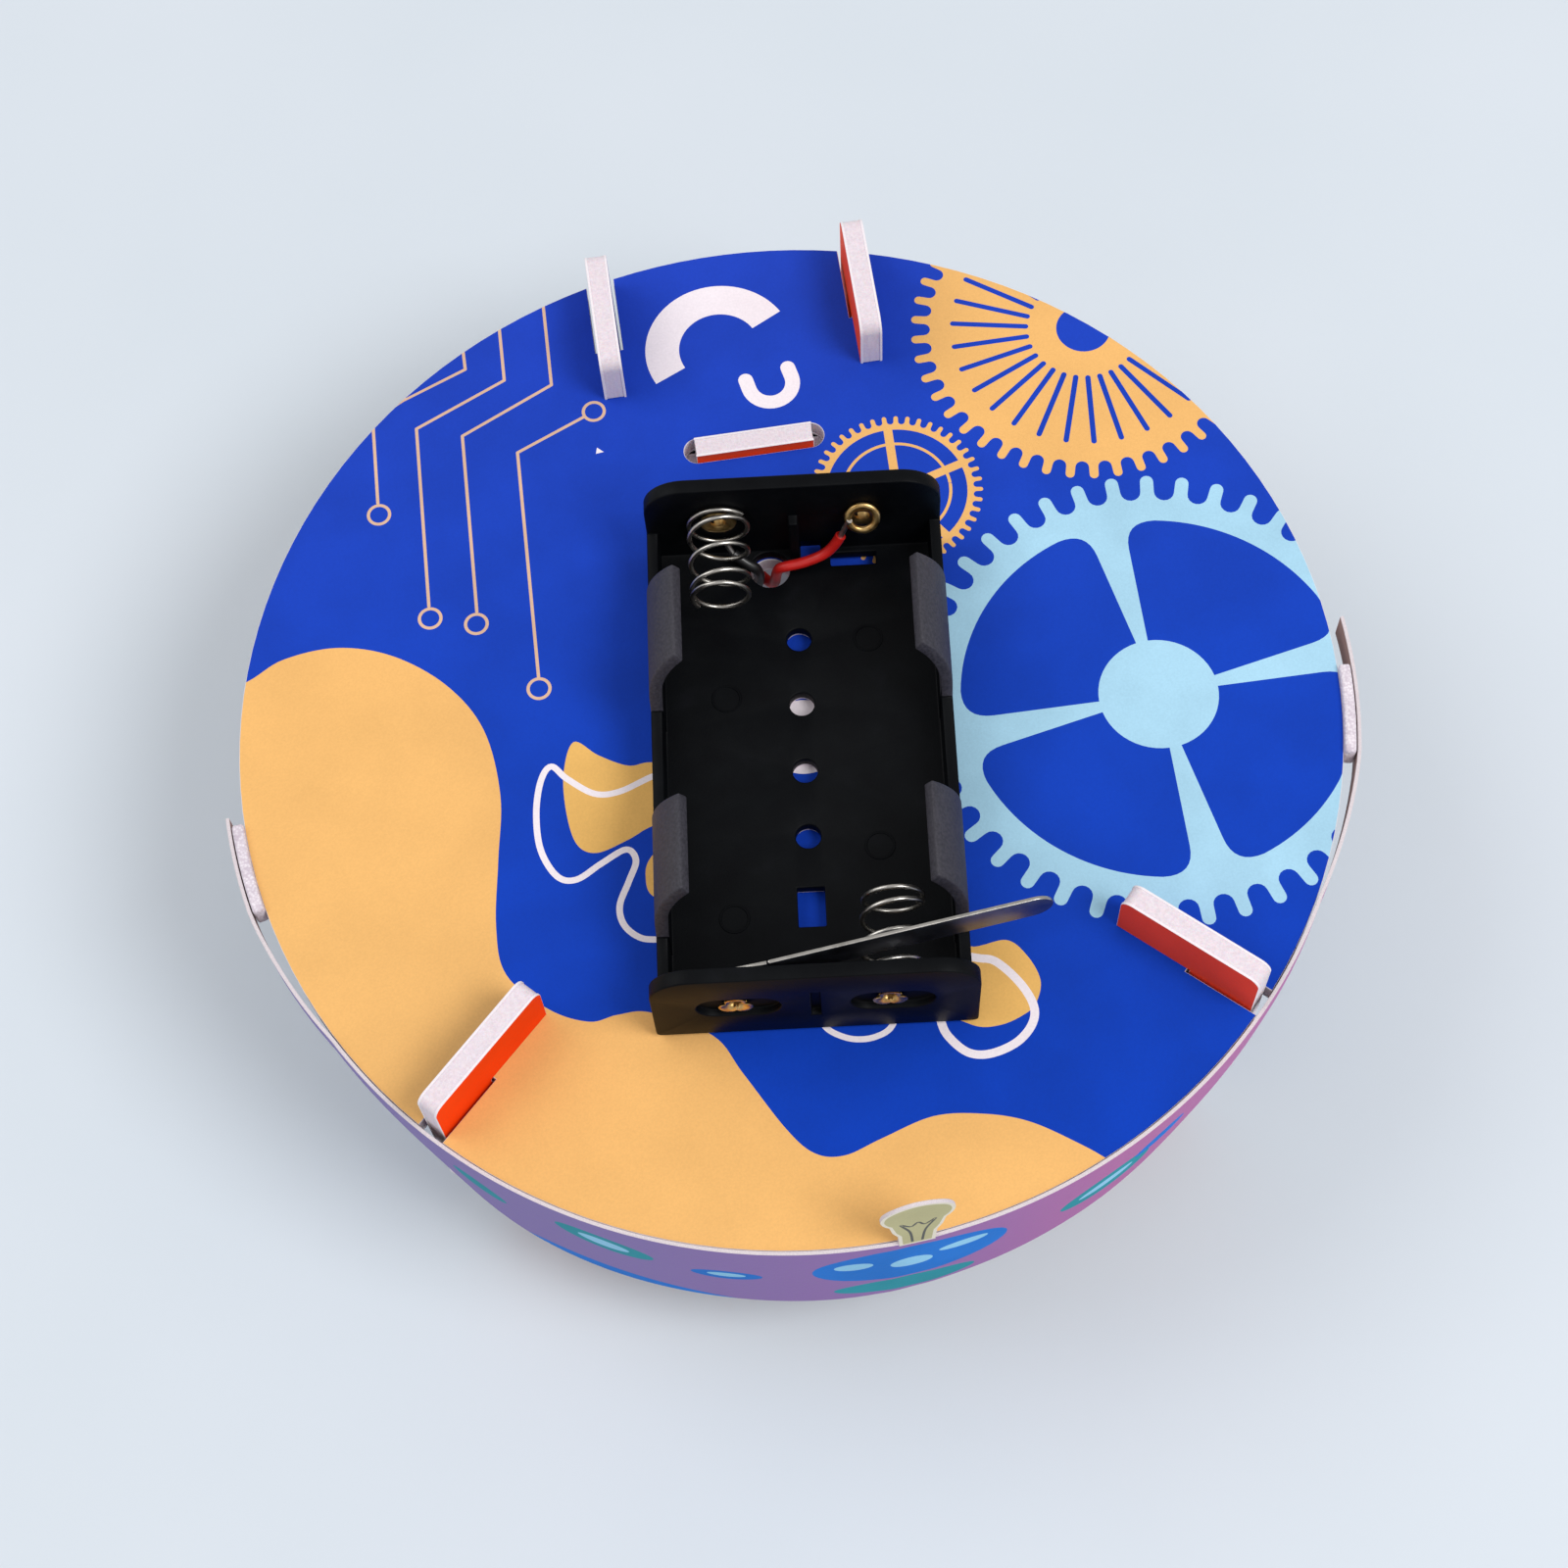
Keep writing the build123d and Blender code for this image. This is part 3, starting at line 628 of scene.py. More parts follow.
look |= {
    # The blue print carries painted reflection: paler and warmer towards the rear.
    "blue": printed_paper("print_blue", (30, 64, 184), along_y=BLUE_PAINTED_REFLECTION_FADE),
    "edge": cut_edge("paper_edge", 0.15, (226, 217, 223), (240, 233, 237),
                     roughness=0.8, specular=0.3, sheen=0.2),
    "card_edge": cut_edge("card_edge", 0.12, (196, 186, 192), (222, 212, 214), roughness=0.85, specular=0.2),
    "core": foam_core(),
    "band": band_print(),
    "black": black_plastic(),
    "clip": clip_plastic(),
    "nickel": nickel(),
    # A darker, bluer copy of the nickel: painted reflection of dark surroundings on the switch's upright
    # faces.
    "nickel_dark_reflection": nickel("nickel_steel_painted_reflection", (112, 116, 128), (0.3, 0.45)),
    "tinned": nickel("tinned_strand", (205, 203, 200), (0.28, 0.5)),
    "red_wire": insulation("red_insulation", (196, 28, 24)),
    "black_wire": insulation("black_insulation", (22, 22, 24)),
    "rubber": tyre_rubber(),
    "contact_brass": brass(),
    "white_plastic": plastic("white_nylon", (232, 230, 222)),
    "yellow_plastic": plastic("yellow_hub", (244, 186, 36)),
    "motor_steel": machined("motor_can_steel", (188, 188, 190), (0.1, 1, 1)),
    "steel_shaft": machined("ground_steel", (200, 200, 204), (8, 1, 1)),
    "magnet_ferrite": machined("magnet_ferrite", (52, 50, 52), (1, 1, 1), (0.6, 0.8), 0.0),
    "armature_iron": machined("armature_iron", (120, 116, 112), (8, 1, 1), (0.35, 0.55)),
    "foam_tape": foam_tape(),
}


# --- Foam board pieces ---

def board_levels(thickness):
    """Two paper skins and between them a core cut back by a hair."""
    skin = 0.26
    return [(0.05, 0.0, "edge"), (0.0, 0.05, "edge"), (0.0, skin, "edge"), (0.07, skin + 0.02, "core"),
            (0.07, thickness - skin - 0.02, "edge"), (0.0, thickness - skin, "edge"),
            (0.0, thickness - 0.05, "edge"), (0.05, thickness, "edge")]


def board(node, normal, front, back, shapes=()):
    """A foam board piece from its CAD outline, with its printed faces."""
    loops, place, thickness = cad_outlines(node, normal)
    looks = {"front": look[front], "back": look[back], "edge": look["edge"], "core": look["core"]}
    area = partition(loops[:1], loops[1:], shapes)
    piece = layered_sheet(node + "_board", area, place, board_levels(thickness), looks, shapes)
    stands_for(piece, "chassis", "foam_board", node)


def blob_shapes():
    """The big warm patch over the front and left, and the small patches and lines beside the box."""
    shore = [(-62, 12), (-58, 13), (-54, 15), (-48, 15.5), (-42, 13.5), (-36.5, 9), (-33, 3), (-32, -5),
             (-33, -12.5), (-34, -20), (-33.5, -25.5), (-29.5, -30), (-25.5, -32), (-22.5, -31.7), (-19, -32),
             (-13, -35.5), (-10.5, -40), (-7, -46.5), (-4.5, -49.5), (-1.5, -50.2), (2.5, -49), (8, -47.5),
             (13, -48), (17.5, -49.5), (22, -52.5), (25, -55), (30, -60)]
    patch = spline(shore) + [(20, -75), (-50, -75), (-75, -30), (-75, 5)]
    left = spline([(-23.5, 0), (-21, -2), (-18, -3.7), (-15.5, -3.7), (-12, -5), (-12, -10), (-16.5, -11.2),
                   (-19, -12.3), (-22.5, -13.3), (-24.5, -12), (-25.2, -8.3), (-25, -3.6)], closed=True)
    low = spline([(-14, -13), (-16.7, -14.5), (-17.7, -16.6), (-17, -19.3), (-12, -20), (-11, -15)],
                 closed=True)
    right = spline([(12, -29), (15.2, -30), (18.7, -29.8), (20.5, -31.8), (21.4, -34.6), (20.7, -36.8),
                    (19.4, -38), (16.5, -38.9), (13.5, -38.4), (10, -35)], closed=True)
    return [shape("tan", [patch]), shape("ochre", [left, low, right])]


def pen_lines():
    """White pen lines that run out from under the box, and a white spot below its middle holes."""
    left = [(-13, -5), (-15.6, -5.4), (-19.3, -6.6), (-22, -6.4), (-24.7, -4.2), (-26.2, -2.5), (-27.5, -4),
            (-28.4, -7.7), (-28.4, -12), (-27, -15.3), (-25, -16), (-22.2, -14.6), (-19.4, -13.4),
            (-18.5, -14.8), (-19.5, -17), (-20.8, -19.6), (-20.7, -21.7), (-19.5, -23.3), (-17.8, -24),
            (-14, -24.3)]
    ring = [(13, -30.5), (15.4, -31.3), (17.2, -32), (19.2, -34.6), (20.2, -37.3), (19.7, -39.3), (17.8, -41),
            (15, -41.8), (12.8, -41.4), (11.2, -39.7), (10.5, -37.8), (10.5, -34)]
    front = [(-2, -35), (-1.2, -36.6), (0.3, -37.7), (1.8, -38.2), (3.5, -38.2), (5.2, -37.5), (6.5, -35.5)]
    lines = [stroke(spline(left), 0.7), stroke(spline(ring), 0.9), stroke(spline(front), 0.65)]
    return [shape("white", lines + [circle((1.2, -3.3), 4.4)])]


def smile_shapes():
    """A broad open ring and a small cup shape near the rear, and a chip where the print came off."""
    ring = arc_strip((-1.2, 47.0), 4.65, 8.55, 27, 204.5)
    cup = [(1.2, 42.3)] + [polar(2.55, turn, (3.95, 41.45)) for turn in range(190, 371, 10)] + [(6.2, 43.2)]
    chip = [(-16.9, 35.4), (-16.0, 35.5), (-16.7, 36.2)]
    return [shape("white", [ring, stroke(cup, 1.7), chip])]


def circuit_lines():
    """Thin circuit lines on the left that end in rings."""
    ends = [(-42, 31.5), (-37.5, 17.5), (-32.5, 16), (-26.5, 7), (-16.5, 41)]
    lines = [[(-42, 33), (-41.7, 42.5), (-41.7, 50)], [(-46, 42), (-38, 46), (-30.5, 49), (-30.6, 56)],
             [(-37.5, 19), (-36.8, 42), (-26.2, 46.8), (-26, 58)],
             [(-32.3, 17.5), (-31.7, 40.2), (-20.9, 45.3), (-20.6, 60)],
             [(-26.4, 8.3), (-25.7, 37), (-17.6, 40.5)]]
    rings = [circle(end, 1.38, 32) for end in ends]
    strokes = [stroke(part, 0.36) for line in lines for part in zip(line, line[1:])]
    holes = [circle(end, 1.02, 32) for end in ends]
    return [shape("beige", strokes + rings, holes)]


def gear_shapes():
    """Three printed gears: a large spoked one, a slotted one and a small thin one by the box."""
    large = (39.9, -4.3)
    windows = [window(large, 6.5, 21.4, turn + 5.8, turn + 84.2, 3.4) for turn in (5, 95, 185, 275)]
    spoked = shape("cyan", [gear_rim(large, 24.0, 27.1, 42, 4.5)], windows)
    second = (40.5, 42.8)
    slits = [stroke([polar(6.6, turn, second), polar(15, turn, second)], 0.62) for turn in range(0, 360, 12)]
    slotted = shape("tan", [gear_rim(second, 17.6, 19.8, 45, 7)], slits + [circle(second, 3.1, 48)])
    small = (16.0, 25.2)
    rim = shape("tan", [gear_rim(small, 8.6, 9.65, 44, 0)], [circle(small, 7.9)])
    spokes = [stroke([small, polar(8.1, 88.5 + 72 * spoke, small)], 1.0) for spoke in range(5)]
    thin = arc_strip(small, 5.85, 6.2, 0, 359.5, 90)
    return [spoked, slotted, rim, shape("tan", spokes + [thin])]


def add_boards():
    printed = blob_shapes() + pen_lines() + smile_shapes() + circuit_lines() + gear_shapes()
    board("deck", (0, 0, 1), "blue", "plain", printed)
    for node, front, back in (("front_leg_left", "orange", "navy"), ("front_leg_right", "navy", "deep_red")):
        low, high = box_mm(node)
        turn = math.atan2(low.x + high.x, -low.y - high.y)
        board(node, (math.cos(turn), math.sin(turn), 0), front, back)
    board("rear_plate_left", (1, 0, 0), "navy", "navy")
    board("rear_plate_right", (1, 0, 0), "navy", "red")
    board("cross_board", (0, -1, 0), "red", "navy")


# --- Printed band ---

def band_edges():
    """Along the band's outside, from end to end: angle, outer radius and height of the lower edge."""
    mesh = nodes["printed_band"].data
    rows = {}
    for polygon in mesh.polygons:
        out = Vector((polygon.center.x, polygon.center.y, 0)).normalized()
        if polygon.normal.dot(out) < 0.9:
            continue
        for x, y, z in (mesh.vertices[v].co / MM for v in polygon.vertices):
            key = round(math.degrees(math.atan2(x, -y)) * 4)
            low = rows.get(key, (0, 0, 1e9))
            rows[key] = (key / 4, math.hypot(x, y), min(low[2], z))
    return [rows[key] for key in sorted(rows) if rows[key][2] < deck_top - 2.0]


def between(rows, angle, column):
    """A column's value at an angle, straight between the rows on either side."""
    after = next((number for number, row in enumerate(rows) if row[0] >= angle), len(rows) - 1)
    low, high = rows[max(after - 1, 0)], rows[after]
    share = min((angle - low[0]) / (high[0] - low[0]), 1.0) if after else 0.0
    return low[column] + (high[column] - low[column]) * share


# The band is drawn flat, as (distance along it from straight ahead, height), and then bent round the deck.
band_degree = math.radians(1) * deck_radius
band_top = deck_top + 0.3
band_middle = deck_top - 7.5
bulb_radius = 3.75
bulb = (4.1 * band_degree, band_high.z - bulb_radius)
# Ovals: degrees from straight ahead, rise from the band's middle, half width, half height and lean.
BAND_OVALS = {
    "band_teal": ((-40.5, 1.6, 3.4, 1.3, -24), (-26.8, 1.4, 5.4, 2.2, -14), (24.5, -0.2, 5.6, 2.2, 14),
                  (3.0, -7.6, 7.5, 2.2, 3)),
    "band_blue": ((3.6, 0.6, 10.2, 5.6, 3), (-14.6, -1.3, 3.7, 1.5, 0), (-24, -10.3, 13.0, 1.7, -9),
                  (31.0, 2.6, 3.4, 1.0, 16)),
    "band_sky": ((-26.8, 1.4, 2.8, 1.1, -14), (-2.1, 1.4, 2.0, 1.2, 0), (8.8, 2.4, 2.6, 1.0, 4),
                 (-14.6, -1.2, 2.0, 0.7, 0), (24.5, -0.2, 3.4, 0.8, 14), (3.6, 0.3, 2.2, 1.6, 0)),
}


def oval(angle, rise, wide, high, lean):
    lean = math.radians(lean)
    outline = []
    for step in range(40):
        part = math.radians(9 * step)
        x, y = wide * math.cos(part), high * math.sin(part)
        outline.append((angle * band_degree + x * math.cos(lean) - y * math.sin(lean),
                        band_middle + rise + x * math.sin(lean) + y * math.cos(lean)))
    return outline


def mirrored(half, between=()):
    """A line up to the bulb's middle and down its other side, with what lies between them."""
    left = [(bulb[0] - x, height) for x, height in half]
    right = [(bulb[0] + x, height) for x, height in reversed(half)]
    return left + list(between) + right


def bulb_outline(inset):
    neck = 1.85 - inset
    glass = [polar(bulb_radius - inset, turn, bulb) for turn in range(-40, 221, 5)]
    return glass + mirrored([(neck + 0.7, band_top + 4.6), (neck + 0.15, band_top + 3.0),
                             (neck, band_top - 0.6 + inset)])


def band_shapes():
    """The ovals on the band, and the bulb with its wire."""
    x, z = bulb
    wire = mirrored([(0.5, band_top + 0.2), (0.8, z - 5.2), (1.75, z - 2.0), (0.7, z - 3.3)], [(x, z - 2.2)])
    shapes = [shape(ink, [oval(*row) for row in rows]) for ink, rows in BAND_OVALS.items()]
    return shapes + [shape("bulb_rim", [bulb_outline(0.0)]), shape("bulb_glass", [bulb_outline(0.4)]),
                     shape("bulb_wire", [stroke(spline(wire), 0.28)])]


def add_band():
    """The card band with its bulb shaped tab, bent round the deck from its flat drawing."""
    rows = band_edges()
    thickness, bevel = 0.4, 0.06
    first, last = rows[0][0], rows[-1][0]
    angles = [first + (last - first) * step / 120 for step in range(121)]
    strip = [(angle * band_degree, between(rows, angle, 2)) for angle in angles]
    strip += [(angle * band_degree, band_top) for angle in reversed(angles)]
    fold = 1.5 * band_degree
    folds = [((step * fold, 0.0), (step * fold, 60.0)) for step in range(-61, 62)]
    shapes = band_shapes()
    area = partition([strip, bulb_outline(0.0)], [], shapes, folds)

    def place(u, v, depth):
        angle = u / band_degree
        radius = between(rows, angle, 1) - depth
        turn = math.radians(angle)
        return Vector((radius * math.sin(turn), -radius * math.cos(turn), v))

    # The back takes the darkened card colour: painted shade for the gap behind the band.
    looks = {"front": look["band"], "back": look["card_back_and_gap_shade"], "edge": look["card_edge"]}
    levels = [(0.04, 0.0, "edge"), (0.0, bevel, "edge"), (0.0, thickness - bevel, "edge"),
              (0.04, thickness, "edge")]
    piece = layered_sheet("printed_band_card", area, place, levels, looks, shapes)
    stands_for(piece, "chassis", "printed_card", "printed_band")


# --- Tubes and turned pieces ---

def ring_faces(count, size):
    """Faces between rings of so many points each, the last ring joined to the first."""
    faces = []
    for step in range(count):
        here, there = step * size, (step + 1) % count * size
        for index in range(size):
            following = (index + 1) % size
            faces.append([here + index, here + following, there + following, there + index])
    return faces


def tube(name, line, radius, material):
    """A round wire along a line of points in millimetres."""
    sides = 10
    points = []
    line = [Vector(point) for point in line]
    way = (line[1] - line[0]).normalized()
    side = way.orthogonal().normalized()
    for index, point in enumerate(line):
        ahead = (line[min(index + 1, len(line) - 1)] - line[max(index - 1, 0)]).normalized()
        side = (side - ahead * side.dot(ahead)).normalized()
        other = ahead.cross(side)
        for step in range(sides):
            turn = 2 * math.pi * step / sides
            points.append((point + (side * math.cos(turn) + other * math.sin(turn)) * radius) * MM)
    faces = ring_faces(len(line), sides)[:-sides]
    faces.append(list(range(sides))[::-1])
    faces.append([(len(line) - 1) * sides + step for step in range(sides)])
    return mesh_object(name, points, faces, [material], sharp=50)


def lathe(profile, axis_point, axis):
    """Points and faces of a ring turned round an axis from a closed profile of (along, radius)."""
    axis = Vector(axis).normalized()
    side = axis.orthogonal().normalized()
    other = axis.cross(side)
    origin = Vector(axis_point)
    count = 48
    points = []
    for step in range(count):
        turn = 2 * math.pi * step / count
        out = side * math.cos(turn) + other * math.sin(turn)
        points += [(origin + axis * along + out * radius) * MM for along, radius in profile]
    return points, ring_faces(count, len(profile))


def in_case(x, y, z):
    """A point of the battery box's own frame, in the frame of the CAD, in millimetres."""
    return case_place @ Vector((x, y, z))


def add_spring(name, x, side, node, seat, lean):
    """A coil spring with closed ends, a little narrower at its free end, which leans to one side."""
    wire = 0.27
    contact_z = rear_contact_z if side > 0 else front_contact_z
    start = case_half_length - case_end_wall - seat - wire
    length = 9.6 - 2 * wire
    closed, turns, steps = 1.0, 4.5, 32
    line = []
    for step in range(int(turns * steps) + 1):
        done = step / steps
        open_share = min(max((done - closed) / (turns - 2 * closed), 0.0), 1.0)
        coils_closed = min(done, closed) + max(done - turns + closed, 0.0)
        rise = coils_closed * 2.1 * wire + (length - 4.2 * closed * wire) * open_share
        radius = 3.2 - 0.15 * rise / length
        turn = 2 * math.pi * done + 0.6
        line.append(in_case(x + lean * rise / length + radius * math.cos(turn) * side, side * (start - rise),
                            contact_z + radius * math.sin(turn)))
    piece = tube(name, line, wire, look["nickel"])
    stands_for(piece, "chassis", "spring_steel", node)


def split_rim(points, profile, origin, axis):
    """Dents a rivet's flared rim in three places, as rolling it over splits it."""
    for number, point in enumerate(points):
        along = profile[number % len(profile)][0]
        if along > 1.0:
            turn = 7.5 * (number // len(profile))
            dent = 0.42 * (1.0 - abs(math.cos(math.radians(1.5 * turn + 20)))) ** 2
            middle = (origin + axis * along) * MM
            points[number] = middle + (point - middle) * (1.0 - dent)


def add_rivets():
    """Tubular rivets through the box's end walls, heads inside and split, flared rims outside."""
    points, faces = [], []
    for side, contact_z in ((-1, front_contact_z), (1, rear_contact_z)):
        head = -0.4 if side < 0 else 0.0
        profile = [(head - 0.4, 1.4), (head - 0.4, 1.7), (head - 0.3, 1.92), (head - 0.14, 1.99),
                   (head, 1.95), (head, 1.0), (0.8, 1.0), (1.0, 1.25), (1.22, 1.72), (1.36, 1.8),
                   (1.4, 1.7), (1.36, 1.45), (1.15, 1.05), (0.9, 0.86), (0.5, 0.8), (head - 0.15, 0.84),
                   (head - 0.32, 1.05)]
        for x in (-cell_x, cell_x):
            origin = in_case(x, side * (case_half_length - case_end_wall), contact_z)
            axis = case_place.to_3x3() @ Vector((0, side, 0))
            more, rings = lathe(profile, origin, axis)
            split_rim(more, profile, origin, axis)
            first = len(points)
            points += more
            faces += [[first + v for v in ring] for ring in rings]
    piece = mesh_object("battery_rivets", points, faces, [look["contact_brass"]], sharp=40)
    stands_for(piece, "chassis", "contact_brass", "battery_contacts")


def add_lug():
    """The ring shaped lug of the red lead, which leans off the rear wall over its rivet."""
    ring_radius, half_height, half_width = 1.55, 0.32, 0.42
    profile = [(half_height * math.cos(turn), ring_radius + half_width * math.sin(turn))
               for turn in (math.radians(30 * step) for step in range(12))]
    lean = math.radians(28)
    axis = case_place.to_3x3() @ Vector((0, -math.cos(lean), math.sin(lean)))
    centre = in_case(cell_x, case_half_length - case_end_wall - 1.0, rear_contact_z + 0.9)
    points, faces = lathe(profile, centre, axis)
    piece = mesh_object("red_lead_lug", points, faces, [look["contact_brass"]], sharp=60)
    stands_for(piece, "chassis", "contact_brass")


def add_tyre(name, node):
    """A tyre with cross grooves between its rounded shoulders."""
    low, high = box_mm(node)
    thickness, groove_depth = 2.6, 0.45
    outer = (high.z - low.z) / 2
    inner = outer - thickness
    width = high.x - low.x
    middle = (low.x + high.x) / 2
    shares = [0.0, 0.06, 0.14, 0.3, 0.5, 0.7, 0.86, 0.94, 1.0]
    drops = [1.0, 0.45, 0.12, 0.0, 0.0, 0.0, 0.12, 0.45, 1.0]
    teeth, steps = 44, 6
    count = teeth * steps
    points = []
    for step in range(count):
        turn = 2 * math.pi * step / count
        groove = groove_depth if step % steps in (0, 1) else 0.0
        ring = []
        for share, drop in zip(shares, drops):
            cut = groove if 0.1 < share < 0.45 or 0.55 < share < 0.9 else 0.0
            ring.append((middle - width / 2 + width * share, outer - drop * 0.8 - cut))
        ring += [(middle + width / 2, inner), (middle - width / 2, inner)]
        out = Vector((0, math.cos(turn), math.sin(turn)))
        points += [(Vector((x, axle.y, axle.z)) + out * radius) * MM for x, radius in ring]
    faces = [face[:1] + face[:0:-1] for face in ring_faces(count, len(ring))]
    piece = mesh_object(name, points, faces, [look["rubber"]], sharp=28)
    stands_for(piece, "wheelset", "tyre_rubber", node)


def cut_corner(piece):
    """Lowers the foot's top edge away from the bend, where it lies below the wall's rim."""
    case_rim_z, bend_x, drop = 13.0, -6.0, 2.4
    from_frame = case_place.inverted()
    for vertex in piece.data.vertices:
        place = from_frame @ (vertex.co / MM)
        if place.z > case_rim_z and place.x < bend_x:
            place.z -= drop
            vertex.co = (case_place @ place) * MM


def add_switch():
    """The springy leaf with its rounded tip and its foot bent flat against the end wall, and its contact."""
    for node, name in (("switch_leaf", "switch_blade"), ("switch_leaf_foot", "switch_foot"),
                       ("switch_contact", "switch_plate")):
        piece = soften(name, node, 0.08, look["nickel"])
        # Upright faces take the darker, bluer nickel as painted reflection of the dark surroundings; faces
        # that look up keep the plain nickel.
        piece.data.materials.append(look["nickel_dark_reflection"])
        for polygon in piece.data.polygons:
            if abs(polygon.normal.z) < 0.5:
                polygon.material_index = 1
        if node == "switch_leaf_foot":
            cut_corner(piece)
        stands_for(piece, "leaf" if node == "switch_leaf" else "chassis", "spring_steel", node)


def lead(name, points, material, slot, node, stripped):
    """A lead along its route, with a bare tinned end at the box."""
    radius, bare_radius = 0.6, 0.32
    data = bpy.data.curves.new(name, "CURVE")
    data.dimensions = "3D"
    data.bevel_depth = radius * MM
    data.bevel_resolution = 4
    data.resolution_u = 6
    data.use_fill_caps = True
    run = data.splines.new("NURBS")
    run.points.add(len(points) - 1)
    for control, point in zip(run.points, points):
        control.co = (*(Vector(point) * MM), 1.0)
    run.order_u = 3
    run.use_endpoint_u = True
    data.materials.append(material)
    stands_for(into_scene(name, data), "chassis", slot, node)
    end = tube(name + "_bare_end", stripped, bare_radius, look["tinned"])
    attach(end, "chassis")


def add_leads():
    """Both leads go from a rivet down through the deck, back under it and on to the motor."""
    motor = middle_mm("motor_shaft")
    cross_y = middle_mm("cross_board").y
    exit_x, exit_y = -2.8, 24.5
    run_z = deck_low.z - 1.25
    tip_x = box_mm("motor_end_cap")[0].x - 1.0
    tip_z = motor.z + 1.3

    def down(x):
        hole = in_case(x, exit_y, 0)
        return [(hole.x, hole.y, deck_top + 2.0), (hole.x - 0.3, hole.y + 0.6, deck_low.z - 1.0),
                (hole.x - 2.6, hole.y + 4.6, run_z - 0.6)]

    red_y = motor.y + 4.2
    red = [in_case(*p) for p in ((5.4, 25.7, 6.2), (4.4, 25.2, 3.7), (1.4, 24.6, 2.5), (-0.8, 24.3, 2.4))]
    red += down(exit_x + 1.0)
    red += [(-7.0, 27.0, run_z + 0.1), (tip_x + 2.0, cross_y, run_z),
            (tip_x + 1.9, red_y - 10.5, run_z + 0.1), (tip_x, red_y - 4.4, run_z),
            (tip_x - 0.1, red_y - 0.4, motor.z + 5.0), (tip_x, red_y, tip_z)]
    bare = [in_case(*p) for p in ((6.4, 25.6, 9.6), (6.1, 25.7, 8.6), (5.8, 25.8, 7.4), (5.2, 25.5, 5.7))]
    lead("red_lead_wire", red, look["red_wire"], "red_insulation", "red_lead", bare)
    black_y = motor.y - 4.2
    black = [in_case(*p) for p in ((-6.4, 25.7, 3.3), (-5.2, 24.9, 2.6))]
    black += down(exit_x - 0.8)
    black += [(-9.9, 27.4, run_z - 0.2), (tip_x + 0.2, cross_y, run_z), (tip_x, black_y - 3.0, run_z - 1.0),
              (tip_x, black_y, motor.z + 5.0), (tip_x, black_y + 0.1, tip_z)]
    bare = [in_case(*p) for p in ((-7.3, 26.5, 5.2), (-7.1, 26.3, 4.6), (-6.8, 26.0, 3.9), (-6.3, 25.6, 3.2))]
    lead("black_lead_wire", black, look["black_wire"], "black_insulation", "black_lead", bare)


def add_case():
    """The battery box, with the coarser texture on the four clips that curl over the cells."""
    piece = soften("battery_case", "battery_box", 0.16, look["black"])
    piece.data.materials.append(look["clip"])
    from_frame = case_place.inverted()
    clip_x, clip_y, clip_z = 11.5, 25.5, 7.2
    for polygon in piece.data.polygons:
        place = from_frame @ (polygon.center / MM)
        if abs(place.x) > clip_x and place.z > clip_z and abs(place.y) < clip_y:
            polygon.material_index = 1
    stands_for(piece, "chassis", "black_plastic", "battery_box")
    points, faces = [], []
    profile = [(0.0, 1.35), (0.06, 1.4), (0.06, 1.6), (0.0, 1.65)]
    for x, y in ((-cell_x, -16.5), (cell_x, 15.5), (-cell_x, 9.0), (cell_x, -9.0)):
        more, rings = lathe(profile, in_case(x, y, 1.4), (0, 0, 1))
        faces += [[len(points) + v for v in ring] for ring in rings]
        points += more
    marks = mesh_object("battery_case_marks", points, faces, [look["black"]])
    stands_for(marks, "chassis", "black_plastic")


def add_hard_parts():
    """Moulded and metal parts whose CAD shapes are right, with their edges rounded."""
    rows = (
        ("axle_spur_gear", "axle_gear", 0.07, "white_plastic", "wheelset"),
        ("axle_spacer", "axle_collar", 0.2, "white_plastic", "wheelset"),
        ("bush_left", "axle_bush_left", 0.12, "white_plastic", "chassis"),
        ("bush_right", "axle_bush_right", 0.12, "white_plastic", "chassis"),
        ("hub_left", "wheel_hub_left", 0.25, "yellow_plastic", "wheelset"),
        ("hub_right", "wheel_hub_right", 0.25, "yellow_plastic", "wheelset"),
        ("axle_rod", "wheel_axle", 0.2, "steel_shaft", "wheelset"),
        ("motor_shell", "motor_can", 0.3, "motor_steel", "chassis"),
        ("motor_cap", "motor_end_cap", 0.3, "white_plastic", "chassis"),
        ("motor_tabs", "motor_terminals", 0.06, "contact_brass", "chassis"),
        ("motor_rod", "motor_shaft", 0.2, "steel_shaft", "rotor"),
        ("pinion", "motor_pinion", 0.05, "white_plastic", "rotor"),
        ("motor_rotor", "motor_armature", 0.08, "armature_iron", "rotor"),
        ("motor_magnet_pair", "motor_magnets", 0.2, "magnet_ferrite", "chassis"),
        ("box_foam_tape", "box_tape", 0.1, "foam_tape", "chassis"),
        ("motor_foam_tape", "motor_tape", 0.1, "foam_tape", "chassis"),
        ("band_foam_left", "band_pad_left", 0.3, "foam_tape", "chassis"),
        ("band_foam_right", "band_pad_right", 0.3, "foam_tape", "chassis"),
    )
    for name, node, rounding, slot, body in rows:
        piece = soften(name, node, rounding, look[slot])
        stands_for(piece, body, slot, node)


# --- Stage, light and camera ---

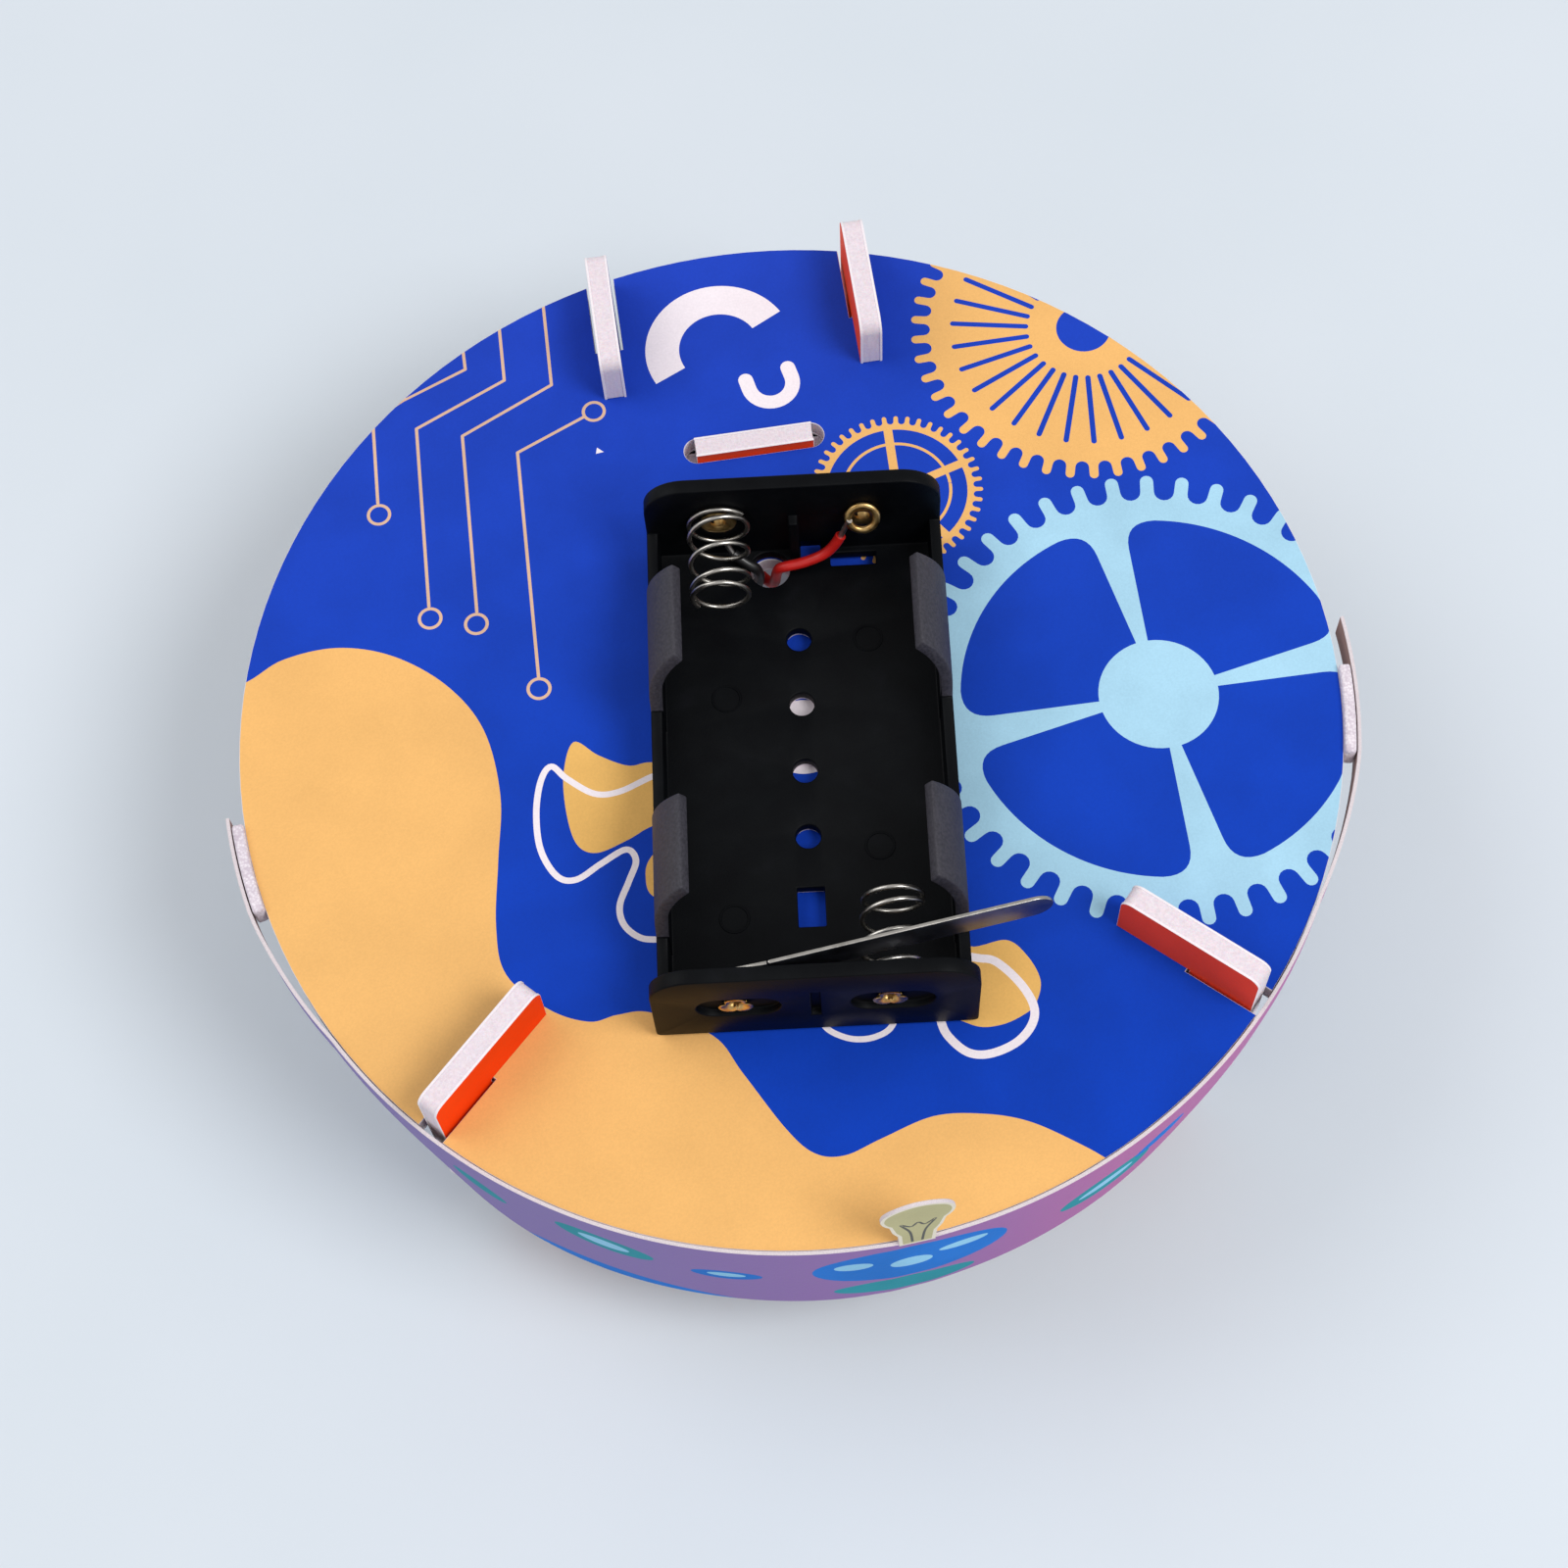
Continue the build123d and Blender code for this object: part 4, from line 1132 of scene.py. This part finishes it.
def add_stage():
    """A plain pale floor."""
    finish = Finish("pale_floor", roughness=0.9, specular=0.2)
    finish.patches(60.0, 2, (0.3, (206, 214, 222)), (0.7, (210, 217, 225)))
    half = 2.0
    corners = [(-half, -half, 0), (half, -half, 0), (half, half, 0), (-half, half, 0)]
    floor = mesh_object("floor", corners, [[0, 1, 2, 3]], [finish.material])


def add_light(name, place, size, power):
    data = bpy.data.lights.new(name, "AREA")
    data.shape = "DISK"
    data.size = size
    data.energy = power
    made = into_scene(name, data)
    made.location = place
    made.rotation_euler = (-Vector(place)).to_track_quat("-Z", "Y").to_euler()


def add_lights():
    world = bpy.data.worlds.new("soft_studio")
    world.use_nodes = True
    background = world.node_tree.nodes["Background"]
    background.inputs["Color"].default_value = (1.0, 1.0, 1.0, 1.0)
    background.inputs["Strength"].default_value = 0.58
    bpy.context.scene.world = world
    add_light("key", (0.4, -0.3, 0.7), 0.4, 3.9)
    add_light("fill", (-0.5, 0.2, 0.6), 0.6, 2.0)
    bpy.context.scene.view_settings.view_transform = "Standard"


def add_camera():
    """The camera looks down at the deck from the front, turned a little."""
    tilt, turn, roll = math.radians(65.97), math.radians(4.0), math.radians(8.23)
    distance = 303.9
    back = Vector((-math.sin(turn) * math.cos(tilt), -math.cos(turn) * math.cos(tilt), math.sin(tilt)))
    aim = Vector((-1.7, -8.5, deck_top))
    right = Vector((math.sin(roll), math.cos(roll), 0)).cross(back).normalized()
    up = back.cross(right)
    data = bpy.data.cameras.new("camera")
    data.lens = 65.07
    data.sensor_width = 36.0
    camera = into_scene("camera", data)
    place = Matrix((right, up, back)).transposed().to_4x4()
    place.translation = (aim + back * distance) * MM
    camera.matrix_world = place
    bpy.context.scene.camera = camera


add_boards()
add_band()
add_case()
add_hard_parts()
add_spring("spring_rear", -cell_x, 1, "contact_spring_rear", 0.0, 0.0)
add_spring("spring_front", cell_x, -1, "contact_spring_front", 0.4, 0.9)
add_rivets()
add_lug()
add_switch()
add_leads()
add_tyre("tyre_left_tread", "tyre_left")
add_tyre("tyre_right_tread", "tyre_right")
add_stage()
add_lights()
add_camera()
